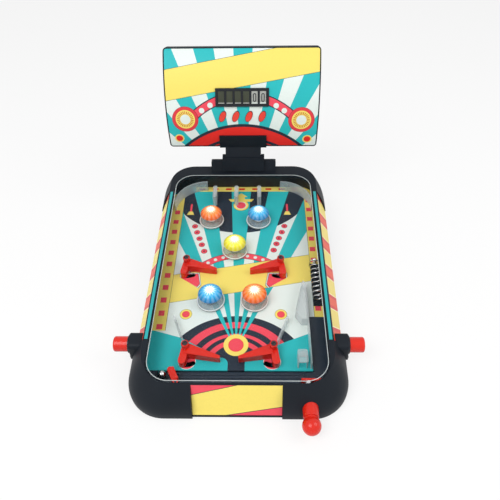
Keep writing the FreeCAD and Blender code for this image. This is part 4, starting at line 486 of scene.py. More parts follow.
@dataclass(frozen=True)
class BrightSteel:
    """Drawn or ground bright steel: fine streaks and a sharp shine."""

    name: str
    colour: str = "C9CBCD"
    roughness: float = 0.24
    streak_mm: float = 0.6
    spread: float = 0.4

    def build(self) -> bpy.types.Material:
        """Builds the finish's nodes.

        Returns:
            The finished material.
        """
        material, tree = new_material(self.name)
        place = millimetres(tree)
        # drawing streaks are far finer than a pixel, so they are drawn coarser to show
        streak = add_node(
            tree, "TexNoise", {"Vector": place, "Scale": 1 / self.streak_mm, "Detail": 4.0}
        )
        rough = add_node(
            tree,
            "MapRange",
            {
                "Value": streak.outputs["Fac"],
                "To Min": self.roughness * (1 - self.spread),
                "To Max": self.roughness * (1 + self.spread),
            },
        )
        shader = add_node(
            tree,
            "BsdfPrincipled",
            {"Base Color": linear(self.colour), "Metallic": 1.0, "Roughness": rough.outputs[0]},
        )
        finish_material(tree, shader.outputs[0])
        return material


class Surface(Enum):
    """The printed surfaces, each with its own way to lay its art out flat."""

    DECK = "deck"
    SIDE = "side"
    LABEL = "label"
    BOARD = "board"


Mask = bpy.types.NodeSocket
Point = tuple[float, float]


class Print:
    """A printed pattern: flat shapes laid one over another, in millimetres on the sheet."""

    def __init__(self, tree: bpy.types.NodeTree, surface: Surface, ground: str) -> None:
        """Starts a sheet.

        Args:
            tree: The material's tree.
            surface: Which surface the sheet covers.
            ground: The ground colour.
        """
        self.tree = tree
        self.place = self.flatten(surface)
        self.colour = linear(ground)

    def flatten(self, surface: Surface) -> Mask:
        """Lays the place out flat.

        Args:
            surface: The printed surface.

        Returns:
            The place on the flat sheet, with nothing along Z.
        """
        tree = self.tree
        place = deck_place(tree)
        if surface is Surface.BOARD:
            back = BOARD.frame().inverted()
            place = add_node(
                tree,
                "Mapping",
                {"Vector": place, "Location": back.to_translation(), "Rotation": back.to_euler()},
            ).outputs[0]
        split = add_node(tree, "SeparateXYZ", (place,)).outputs
        if surface is Surface.DECK:
            flat = (split[0], split[1], 0.0)
        elif surface is Surface.SIDE:
            flat = (split[1], split[2], 0.0)
        elif surface is Surface.LABEL:
            flat = (split[0], split[2], 0.0)
        else:
            angle = add_node(tree, "Math", (split[1], split[2]), operation="ARCTAN2").outputs[0]
            arc = add_node(
                tree,
                "Math",
                (angle, BOARD.radius, BOARD.radius * BOARD.half_angle),
                operation="MULTIPLY_ADD",
            ).outputs[0]
            flat = (split[0], arc, 0.0)
        return add_node(tree, "CombineXYZ", flat).outputs[0]

    def join(self, operation: str, masks: tuple[Mask, ...]) -> Mask:
        """Takes masks together one after another.

        Args:
            operation: How two masks make one.
            masks: The masks.

        Returns:
            One mask.
        """
        both = masks[0]
        for mask in masks[1:]:
            both = add_node(self.tree, "Math", (both, mask), operation=operation).outputs[0]
        return both

    def all_of(self, *masks: Mask) -> Mask:
        """Gives the part that every mask covers."""
        return self.join("MINIMUM", masks)

    def either(self, *masks: Mask) -> Mask:
        """Gives the part that any mask covers."""
        return self.join("MAXIMUM", masks)

    def outside(self, mask: Mask) -> Mask:
        """Gives the part that a mask leaves."""
        return add_node(self.tree, "Math", (1.0, mask), operation="SUBTRACT").outputs[0]

    def disc(self, x: float, y: float, radius: float) -> Mask:
        """Masks a disc.

        Args:
            x: Its middle along X.
            y: Its middle along Y.
            radius: Its radius.

        Returns:
            The mask.
        """
        away = add_node(
            self.tree, "VectorMath", (self.place, (x, y, 0.0)), operation="DISTANCE"
        ).outputs["Value"]
        return add_node(self.tree, "Math", (away, radius), operation="LESS_THAN").outputs[0]

    def ring(self, x: float, y: float, inner: float, outer: float) -> Mask:
        """Masks a ring."""
        return self.all_of(self.disc(x, y, outer), self.outside(self.disc(x, y, inner)))

    def along(self, way: Point) -> Mask:
        """Gives how far a place lies along a direction."""
        return add_node(
            self.tree, "VectorMath", (self.place, (*way, 0.0)), operation="DOT_PRODUCT"
        ).outputs["Value"]

    def left_of(self, start: Point, end: Point) -> Mask:
        """Masks what lies to the left of a line.

        Args:
            start: Where the line starts.
            end: Where it ends. The left is told looking from start to end.

        Returns:
            The mask.
        """
        normal = (start[1] - end[1], end[0] - start[0])
        offset = normal[0] * start[0] + normal[1] * start[1]
        return add_node(
            self.tree, "Math", (self.along(normal), offset), operation="GREATER_THAN"
        ).outputs[0]

    def polygon(self, *points: Point) -> Mask:
        """Masks a convex shape whose corners run anticlockwise."""
        return self.all_of(*[self.left_of(a, b) for a, b in zip(points, points[1:] + points[:1])])

    def block(self, left: float, right: float, low: float, high: float) -> Mask:
        """Masks an upright rectangle."""
        return self.polygon((left, low), (right, low), (right, high), (left, high))

    def above(self, height: float) -> Mask:
        """Masks all that lies higher than a height."""
        return self.left_of((0.0, height), (1.0, height))

    def fan(self, x: float, y: float, count: float, share: float, phase: float) -> Mask:
        """Masks every other ray of a sunburst.

        Args:
            x, y: Where the rays meet.
            count: Rays in a full turn.
            share: How much of each step a ray fills.
            phase: Turns the rays, as a share of a step.

        Returns:
            The mask.
        """
        tree = self.tree
        away = add_node(tree, "VectorMath", (self.place, (x, y, 0.0)), operation="SUBTRACT")
        split = add_node(tree, "SeparateXYZ", (away.outputs[0],)).outputs
        angle = add_node(tree, "Math", (split[0], split[1]), operation="ARCTAN2").outputs[0]
        # whole steps are added so that no step is negative
        turns = (angle, count / math.tau, phase + math.ceil(count))
        steps = add_node(tree, "Math", turns, operation="MULTIPLY_ADD").outputs[0]
        part = add_node(tree, "Math", (steps,), operation="FRACT").outputs[0]
        return add_node(tree, "Math", (part, share), operation="LESS_THAN").outputs[0]

    def stripes(self, way: Point, pitch: float, share: float, start: float = 0.0) -> Mask:
        """Masks stripes across a direction.

        Args:
            way: The direction that the stripes repeat along.
            pitch: Millimetres from stripe to stripe.
            share: How much of each step a stripe fills.
            start: Where a stripe begins, in millimetres.

        Returns:
            The mask.
        """
        tree = self.tree
        unit = Vector(way).normalized()
        along = self.along((unit.x, unit.y))
        past = add_node(tree, "Math", (along, start), operation="SUBTRACT").outputs[0]
        steps = add_node(tree, "Math", (past, pitch), operation="DIVIDE").outputs[0]
        whole = add_node(tree, "Math", (steps,), operation="FLOOR").outputs[0]
        part = add_node(tree, "Math", (steps, whole), operation="SUBTRACT").outputs[0]
        return add_node(tree, "Math", (part, share), operation="LESS_THAN").outputs[0]

    def lay(self, mask: Mask, colour: str) -> None:
        """Prints a colour where the mask is."""
        self.colour = add_node(
            self.tree, "Mix", {0: mask, 6: self.colour, 7: linear(colour)}, data_type="RGBA"
        ).outputs[2]

    def lay_discs(self, x: float, y: float, *bands: tuple[float, str]) -> None:
        """Prints discs over one another, each a radius and a colour, the widest first."""
        for radius, ink in bands:
            self.lay(self.disc(x, y, radius), ink)


@dataclass(frozen=True)
class Inks:
    """The print's ink colours."""

    teal: str = "2FB9BC"
    pale: str = "E3EDE8"
    yellow: str = "F4DF70"
    red: str = "E8302A"
    coral: str = "EE5060"
    navy: str = "2B3440"
    wine: str = "8E2F3E"
    slate: str = "43473B"
    silver: str = "A9ABA6"
    rose: str = "E0424A"
    rust: str = "C4622A"
    cream: str = "FBF4BE"
    crimson: str = "DA2A26"
    orange: str = "EA4A1E"


INKS = Inks()


@dataclass(frozen=True)
class PrintedSheet:
    """Offset-printed sheet under gloss varnish: flat inks, a faint mottle and a clear shine."""

    name: str
    surface: Surface
    ground: str
    level: float = 0.15
    mottle_scale: float = 0.35
    shade: Point = (0.94, 1.03)
    roughness: Point = (0.3, 0.42)
    ior: float = 1.5

    def draw(self, sheet: Print) -> None:
        """Lays the sheet's shapes."""

    def build(self) -> bpy.types.Material:
        """Builds the finish's nodes.

        Returns:
            The finished material.
        """
        material, tree = new_material(self.name)
        sheet = Print(tree, self.surface, self.ground)
        self.draw(sheet)
        # the ink lies a little unevenly: a faint mottle a few millimetres across
        mottle = add_node(
            tree, "TexNoise", {"Vector": sheet.place, "Scale": self.mottle_scale, "Detail": 4.0}
        ).outputs["Fac"]
        shade = add_node(
            tree, "MapRange", {"Value": mottle, "To Min": self.shade[0], "To Max": self.shade[1]}
        ).outputs[0]
        ink = add_node(
            tree,
            "Mix",
            {0: 1.0, 6: sheet.colour, 7: shade},
            data_type="RGBA",
            blend_type="MULTIPLY",
        ).outputs[2]
        low, high = self.roughness
        rough = add_node(
            tree, "MapRange", {"Value": mottle, "To Min": low, "To Max": high}
        ).outputs[0]
        shader = add_node(
            tree,
            "BsdfPrincipled",
            {
                "Base Color": ink,
                "Roughness": rough,
                "IOR": self.ior,
                "Specular IOR Level": self.level,
            },
        )
        finish_material(tree, shader.outputs[0])
        return material


@dataclass(frozen=True)
class DeckPrint(PrintedSheet):
    """The deck's sheet: a sunburst from the target to the back, rings, a dome and a border."""

    name: str = "printed_deck_sheet"
    surface: Surface = Surface.DECK
    ground: str = INKS.pale
    side: float = 130.0
    past_end: float = 400.0
    burst: Point = (-4.5, 66.0)
    burst_count: float = 30.9
    burst_share: float = 0.53
    burst_half: float = 26.6
    dome: tuple[float, float, float] = (-4.5, 404.2, 124.7)
    ring_middle: float = -4.0
    floor_ends: Point = (20.0, 54.0)
    drain_sides: Point = (-14.0, 8.0)
    drain_corner: float = 9.0
    drain_neck: float = 45.0
    lights: tuple[Point, ...] = ((-75.7, 121.8), (57.0, 121.9))
    left_dots: tuple[Point, ...] = (
        (-78.1, 294.0),
        (-73.5, 280.5),
        (-68.5, 266.6),
        (-63.8, 253.4),
        (-59.0, 239.6),
    )
    right_dots: tuple[Point, ...] = (
        (67.5, 294.6),
        (63.0, 280.9),
        (57.9, 267.7),
        (53.8, 255.4),
        (49.2, 242.0),
    )
    lean: float = 0.196
    band_low: float = 161.4
    band_high: float = 212.0
    arc: Point = (-4.0, 146.0)
    arc_radius: float = 84.5
    arc_step: float = 8.5
    mark_height: float = 182.0
    emblem: float = -4.2
    pins: Point = (-88.0, 73.5)
    border_inner: Point = (-101.0, 103.0)
    border_top: float = 379.0
    border_corner: float = 16.0

    def slant(self, x: float, middle: float) -> Point:
        """Returns a place on a slanting line that crosses the middle at a height."""
        return (x, middle + self.lean * x)

    def rays(self, sheet: Print) -> Mask:
        """Masks the teal rays of the sunburst, inside the cone that they fill.

        Args:
            sheet: The sheet that takes the print.

        Returns:
            The mask.
        """
        fan = sheet.fan(*self.burst, self.burst_count, self.burst_share, self.burst_share / 2)
        x, y = self.burst
        reach = self.past_end * math.tan(math.radians(self.burst_half))
        far = y + self.past_end
        return sheet.all_of(fan, sheet.polygon((x, y), (x + reach, far), (x - reach, far)))

    def draw(self, sheet: Print) -> None:
        """Lays the deck's shapes, the lowest first.

        Args:
            sheet: The sheet that takes the print.
        """
        rays = self.rays(sheet)
        sheet.lay(sheet.disc(*self.dome), INKS.navy)
        self.draw_rings(sheet)
        sheet.lay(rays, INKS.teal)
        self.draw_floor(sheet)
        self.draw_lights(sheet)
        self.draw_band(sheet)
        self.draw_flipper_marks(sheet)
        self.draw_emblem(sheet)
        self.draw_border(sheet)

    def draw_rings(self, sheet: Print) -> None:
        """Lays the half rings round the target, each a height, a radius and an ink.

        Args:
            sheet: The sheet that takes the print.
        """
        for height, radius, ink in (
            (18.6, 100.3, INKS.navy),
            (29.7, 79.4, INKS.coral),
            (33.8, 65.4, INKS.navy),
            (33.2, 57.5, INKS.coral),
            (37.0, 49.0, INKS.navy),
            (38.0, 42.5, INKS.coral),
            (40.0, 34.0, INKS.navy),
        ):
            sheet.lay(sheet.disc(self.ring_middle, height, radius), ink)

    def draw_floor(self, sheet: Print) -> None:
        """Lays the teal floor, the drain between its rounded corners and the target.

        Args:
            sheet: The sheet that takes the print.
        """
        side = self.side
        front, back = self.floor_ends
        sheet.lay(sheet.block(-side, side, front, back), INKS.navy)
        for inner, out in zip(self.drain_sides, (-1, 1)):
            corner = inner + out * self.drain_corner
            for mask in (
                sheet.block(*sorted((corner, out * side)), front, back),
                sheet.block(*sorted((inner, out * side)), front, self.drain_neck),
                sheet.disc(corner, self.drain_neck, self.drain_corner),
            ):
                sheet.lay(mask, INKS.teal)
        for points in (
            ((-side, 53.5), (-23.0, 53.5), (-79.0, 84.0), (-side, 99.0)),
            ((17.0, 53.5), (side, 53.5), (side, 106.0), (55.0, 75.0)),
        ):
            sheet.lay(sheet.polygon(*points), INKS.teal)
        sheet.lay_discs(-4.2, 73.0, (16.5, INKS.yellow), (10.2, INKS.red), (9.6, INKS.coral))

    def draw_lights(self, sheet: Print) -> None:
        """Lays the two round lights and the rows of dots on the pale rays.

        Args:
            sheet: The sheet that takes the print.
        """
        light = ((8.6, INKS.navy), (8.2, INKS.yellow), (5.4, INKS.red), (4.8, INKS.coral))
        for spot in self.lights:
            sheet.lay_discs(*spot, *light)
        for spot in self.left_dots + self.right_dots:
            sheet.lay_discs(*spot, (4.9, INKS.wine), (4.0, INKS.coral), (1.8, INKS.wine))

    def draw_band(self, sheet: Print) -> None:
        """Lays the slanting yellow band and the arc of lights behind it.

        Args:
            sheet: The sheet that takes the print.
        """
        over = sheet.left_of(self.slant(0.0, self.band_high), self.slant(1.0, self.band_high))
        x, y = self.arc
        for half, ink in ((6.0, INKS.navy), (5.2, INKS.coral)):
            ring = sheet.ring(x, y, self.arc_radius - half, self.arc_radius + half)
            sheet.lay(sheet.all_of(over, ring), ink)
        for step in range(-5, 6):
            angle = math.radians(step * self.arc_step)
            across, up = self.arc_radius * math.sin(angle), self.arc_radius * math.cos(angle)
            sheet.lay(sheet.all_of(over, sheet.disc(x + across, y + up, 2.7)), INKS.pale)
        side = self.side
        for grow, ink in ((0.5, INKS.navy), (0.0, INKS.yellow)):
            low, high = self.band_low - grow, self.band_high + grow
            corners = ((-side, low), (side, low), (side, high), (-side, high))
            sheet.lay(sheet.polygon(*[self.slant(*corner) for corner in corners]), ink)

    def draw_flipper_marks(self, sheet: Print) -> None:
        """Lays the pointed mark under each upper flipper and the round one under each lower.

        Args:
            sheet: The sheet that takes the print.
        """
        points = ((-13.0, 11.0), (-13.0, 3.0), (9.0, -11.0), (13.0, -5.0), (9.0, 11.0))
        for middle, sign in ((-75.0, 1), (52.0, -1)):
            for grow, ink in (
                (3.6, INKS.navy),
                (3.0, INKS.pale),
                (1.8, INKS.navy),
                (1.2, INKS.coral),
            ):
                grown = [
                    (
                        middle + sign * (x + math.copysign(grow, x)),
                        self.mark_height + y + math.copysign(grow, y),
                    )
                    for x, y in points
                ]
                sheet.lay(sheet.polygon(*grown[::sign]), ink)
        for x in (-67.1, 43.4):
            sheet.lay_discs(x, 48.4, (11.5, INKS.pale), (10.7, INKS.coral))

    def draw_emblem(self, sheet: Print) -> None:
        """Lays the small target, the arrow over it and the pin at each side of them.

        Args:
            sheet: The sheet that takes the print.
        """
        target = ((13.2, INKS.navy), (12.6, INKS.yellow), (9.0, INKS.pale), (8.0, INKS.coral))
        sheet.lay_discs(self.emblem, 343.9, *target)
        for mask in (
            sheet.polygon((-26.0, 359.5), (-22.0, 353.0), (13.5, 353.0), (17.5, 359.5)),
            sheet.block(self.emblem - 6.0, self.emblem + 6.0, 357.0, 366.5),
            sheet.polygon((-15.2, 365.0), (6.8, 365.0), (self.emblem, 374.5)),
        ):
            sheet.lay(mask, INKS.yellow)
        for x in self.pins:
            sheet.lay(sheet.block(x - 1.6, x + 1.6, 329.0, 347.0), INKS.coral)
            foot = ((x - 6.0, 321.0), (x + 6.0, 321.0), (x + 3.2, 329.0), (x - 3.2, 329.0))
            sheet.lay(sheet.polygon(*foot), INKS.yellow)

    def draw_border(self, sheet: Print) -> None:
        """Lays the yellow border with its red ticks down both sides and along the back.

        Args:
            sheet: The sheet that takes the print.
        """
        side, top, corner, end = self.side, self.border_top, self.border_corner, self.past_end
        left, right = self.border_inner
        inner = sheet.either(
            sheet.block(left, right - corner, 0.0, top),
            sheet.block(left, right, 0.0, top - corner),
            sheet.disc(right - corner, top - corner, corner),
        )
        round_it = sheet.outside(inner)
        for mask in (
            sheet.block(-side, left, 95.0, 372.0),
            sheet.all_of(round_it, sheet.block(80.0, side, 118.0, end)),
            sheet.all_of(round_it, sheet.block(-84.5, 92.0, top, end)),
        ):
            sheet.lay(mask, INKS.yellow)
        for x, low, high, start, pitch in (
            (-110.2, 97.0, 345.0, 254.6, 22.6),
            (109.6, 118.0, 372.0, 262.0, 22.3),
        ):
            column = sheet.block(x - 4.2, x + 4.2, low, high)
            ticks = sheet.stripes((0.0, 1.0), pitch, 0.4, start)
            sheet.lay(sheet.all_of(column, ticks), INKS.coral)
        row = sheet.block(-80.0, 94.0, 383.0, 387.6)
        dashes = sheet.stripes((1.0, 0.0), 23.1, 0.44, -78.0)
        sheet.lay(sheet.all_of(row, dashes), INKS.red)
        for edge, low, high in ((left - 0.5, 95.0, 372.0), (right, 118.0, 362.0)):
            sheet.lay(sheet.block(edge, edge + 0.5, low, high), INKS.navy)


@dataclass(frozen=True)
class SidePrint(PrintedSheet):
    """The side walls' sheet: slanting stripes on yellow."""

    name: str = "printed_side_sheet"
    surface: Surface = Surface.SIDE
    ground: str = INKS.yellow

    slant: Point = (1.0, 0.52)
    pitch: float = 47.5
    middle: float = 13.5

    def draw(self, sheet: Print) -> None:
        """Lays the side walls' stripes."""
        for share, ink in ((0.49, INKS.cream), (0.43, INKS.crimson), (0.24, INKS.orange)):
            start = self.middle - share * self.pitch / 2
            sheet.lay(sheet.stripes(self.slant, self.pitch, share, start), ink)


@dataclass(frozen=True)
class LabelPrint(PrintedSheet):
    """The front card: a slanting yellow band between two coral corners."""

    name: str = "printed_label_card"
    surface: Surface = Surface.LABEL
    ground: str = INKS.yellow

    def draw(self, sheet: Print) -> None:
        """Lays the label's corners and their thin edges.

        Args:
            sheet: The sheet that takes the print.
        """
        for (left, left_height), (right, right_height), edge in (
            ((-56.0, -16.0), (0.0, -2.0), 0.8),
            ((56.0, -31.0), (-8.0, -42.6), -0.8),
        ):
            for grow, ink in ((0.0, INKS.navy), (edge, INKS.coral)):
                start, end = (left, left_height + grow), (right, right_height + grow)
                sheet.lay(sheet.left_of(start, end), ink)


@dataclass(frozen=True)
class BoardPrint(PrintedSheet):
    """The scoreboard's sheet: sunburst, a slanting band, an arch of lights and half rings."""

    name: str = "printed_scoreboard_sheet"
    surface: Surface = Surface.BOARD
    ground: str = INKS.pale
    side: float = 130.0
    burst: Point = (1.0, -105.0)
    burst_count: float = 27.8
    foot: Point = (0.2, -93.0)
    arch: Point = (1.0, -25.7)
    arch_foot: float = 48.0
    arch_rings: tuple[tuple[float, float, str], ...] = (
        (106.2, 121.2, INKS.navy),
        (107.8, 119.6, INKS.coral),
    )
    arch_lights: tuple[Point, ...] = ((-64.1, 65.8), (-50.4, 74.0), (53.2, 72.9), (66.0, 65.1))
    medallions: tuple[Point, ...] = ((-91.0, 51.6), (93.6, 49.7))
    small_lights: tuple[Point, ...] = ((-103.7, 17.7), (104.8, 15.2))

    def draw(self, sheet: Print) -> None:
        """Lays the scoreboard's shapes.

        Args:
            sheet: The sheet that takes the print.
        """
        sheet.lay(sheet.fan(*self.burst, self.burst_count, 0.5, 0.235), INKS.teal)
        self.draw_arch(sheet)
        self.draw_medallions(sheet)
        side = self.side
        for grow, ink in ((0.6, INKS.navy), (0.0, INKS.yellow)):
            low = ((-side, 79.4 - grow), (side, 124.9 - grow))
            high = ((side, 172.6 + grow), (-side, 124.8 + grow))
            sheet.lay(sheet.polygon(*low, *high), ink)

    def draw_arch(self, sheet: Print) -> None:
        """Lays the arch of lights and the half rings at the foot.

        Args:
            sheet: The sheet that takes the print.
        """
        over = sheet.above(self.arch_foot)
        for inner, outer, ink in self.arch_rings:
            sheet.lay(sheet.all_of(over, sheet.ring(*self.arch, inner, outer)), ink)
        for spot in self.arch_lights:
            sheet.lay(sheet.disc(*spot, 4.3), INKS.pale)
        sheet.lay_discs(
            *self.foot,
            (136.5, INKS.navy),
            (131.6, INKS.red),
            (112.0, INKS.navy),
            (106.5, INKS.red),
            (104.5, INKS.navy),
        )

    def draw_medallions(self, sheet: Print) -> None:
        """Lays the two round medallions and the small lights under them.

        Args:
            sheet: The sheet that takes the print.
        """
        for x, y in self.medallions:
            sheet.lay_discs(x, y, (20.9, INKS.wine), (20.3, INKS.rose), (15.4, INKS.yellow))
            ticks = sheet.all_of(sheet.ring(x, y, 8.6, 13.2), sheet.fan(x, y, 26.0, 0.45, 0.2))
            sheet.lay(ticks, INKS.rust)
            sheet.lay(sheet.disc(x, y, 8.0), INKS.pale)
        for x, y in self.small_lights:
            sheet.lay_discs(x, y, (7.6, INKS.yellow), (5.6, INKS.red))


@dataclass(frozen=True)
class PanePrint(PrintedSheet):
    """A liquid-crystal pane: dull glass whose lower edge shows a lighter line."""

    name: str = "lcd_dull_glass"
    surface: Surface = Surface.BOARD
    ground: str = INKS.slate
    line: str = INKS.silver
    line_ends: Point = (76.9, 78.3)

    def draw(self, sheet: Print) -> None:
        """Lays the light line near the pane's foot.

        Args:
            sheet: The sheet that takes the print.
        """
        foot, head = self.line_ends
        sheet.lay(sheet.outside(sheet.above(head)), self.line)
        sheet.lay(sheet.outside(sheet.above(foot)), self.ground)


# ABS from a spark-eroded mould: a dull, slightly blue black whose highlights spread wide
BLACK = MouldedPlastic("black_abs_shell", "14191F", "1C222A", 0.5, 0.7, 0.02, 45.0, 0.0, 0.14)
# ABS from a polished mould: deeper black with a clear, narrow shine
BLACK_GLOSS = MouldedPlastic("black_abs_gloss", "10141A", "191E25", 0.24, 0.9, 0.01, 60.0)
# ABS coloured blue-black: reads as a smooth dark gutter beside the print
TROUGH = MouldedPlastic("blue_black_abs", "232D39", "2C3744", 0.3, 0.9, 0.01, 60.0, 0.0, 0.25)
# polystyrene from a polished mould: a full, warm red with small sharp highlights
RED = MouldedPlastic("red_polystyrene", "CE180B", "E02A16", 0.26, 1.2, 0.01, 30.0, 0.1)
# laminated vinyl film: an even teal line with a soft film shine over it
TEAL = MouldedPlastic("teal_film", "1E9CA0", "2AAEB0", 0.3, 0.8, 0.005, 40.0, 0.2)
# unpainted polystyrene: a cool white, smooth and half glossy
WHITE = MouldedPlastic("white_polystyrene", "E4E6E4", "F1F2F0", 0.3)
# glass-fibre laminate under solder mask: dark green with a soft gloss
GREEN = MouldedPlastic("circuit_laminate", "14502A", "1E6434", 0.35)
# epoxy poured over a chip: a glossy black drop
EPOXY = MouldedPlastic("black_epoxy_blob", "101112", "18191B", 0.3)
# shrunk vinyl sleeve of a dry cell: blue and half glossy
CELL = MouldedPlastic("cell_sleeve", "1F3E66", "274C7C", 0.3)
# moulded rubber: nearly black, so rough that it has no highlight
RUBBER = MouldedPlastic("soft_rubber_foot", "1A1A1B", "242425", 0.75, 0.5, 0.04)
# polished coloured polystyrene: a bright red bead with a wet shine
LENS = MouldedPlastic("red_lens_polystyrene", "DE2614", "EE3A20", 0.16, 1.5, 0.005, 20.0, 0.5)
# diffused epoxy of a lamp: milky white and smooth
LAMP = MouldedPlastic("diffused_lamp_epoxy", "F6F4EA", "FFFFFF", 0.2)
# near-white polystyrene on the skirts' hems and collars: the rims are moulded, and their pale
# colour is a painted highlight that keeps them visible against the print
PALE_RIM_HIGHLIGHT = MouldedPlastic("pale_rim_painted_highlight", "D9DEDD", "F0F3F1", 0.28, 0.6, 0.02)
# a display's dark segment: near black and dull behind its glass
SEGMENT = MouldedPlastic("lcd_dark_segment", "23272A", "2C3033", 0.4)
# thin thermoformed acrylic: almost nothing square on, a faint sheen where it turns away
WINDOW = ClearPlastic("clear_window_acrylic", "56646A", 0.0, 0.5, 0.05, 18.0, 0.03, 0.06)
# the window's edge: a pale, partly opaque bead whose even brightness is a painted highlight of the
# cover's rim
EDGE_HIGHLIGHT = ClearPlastic("acrylic_edge_painted_highlight", "EEF6F6", 0.3, 0.9, 0.1, 3.0, 0.1)
# thick clear mouldings: the print shows through, and the whitish share at their edges is a painted
# highlight
CLEAR = ClearPlastic("clear_moulded_polystyrene", "EAF2F4", 0.16, 0.95, 0.08, 6.0, 0.2)
# the skirts' clear discs, with a grey, partly opaque share: they grey what lies under them
SKIRT = ClearPlastic("clear_skirt_polystyrene", "B9C2C0", 0.3, 0.9, 0.1, 4.0, 0.3)
# nickel-plated wire and a ground ball: sharp, bright streaks
STEEL = BrightSteel("bright_steel")
# blackened pins: dark metal with a broader shine
DARK_STEEL = BrightSteel("blackened_steel", "4A4548", 0.34)
# tinted domes over white lamps: each glows from its middle and deepens to its bead
ORANGE_CAP = LitCap(
    "orange_lit_cap", "F47A16", "C8500A", "FFF6E2", ((-51.1, 305.0), (20.0, 143.7))
)
BLUE_CAP = LitCap("blue_lit_cap", "16A0D2", "0C6FA6", "F4FBFF", ((25.5, 305.0), (-42.0, 143.6)))
YELLOW_CAP = LitCap("yellow_lit_cap", "E6DC12", "BDB408", "FFFEEC", ((-10.8, 239.6),))
Finish = MouldedPlastic | ClearPlastic | LitCap | BrightSteel | PrintedSheet


@cache
def finished(finish: Finish) -> bpy.types.Material:
    """Builds a finish once, and gives the same material each time after."""
    return finish.build()


def dress(finish: Finish, *nodes: str) -> None:
    """Gives CAD nodes a finish.

    Args:
        finish: The finish.
        nodes: The nodes' names.
    """
    material = finished(finish)
    for name in nodes:
        slots = frame["nodes"][name].data.materials
        if not slots:
            slots.append(material)
        for index in range(len(slots)):
            slots[index] = material
        LOG.info("dressed %s in %s", name, material.name)


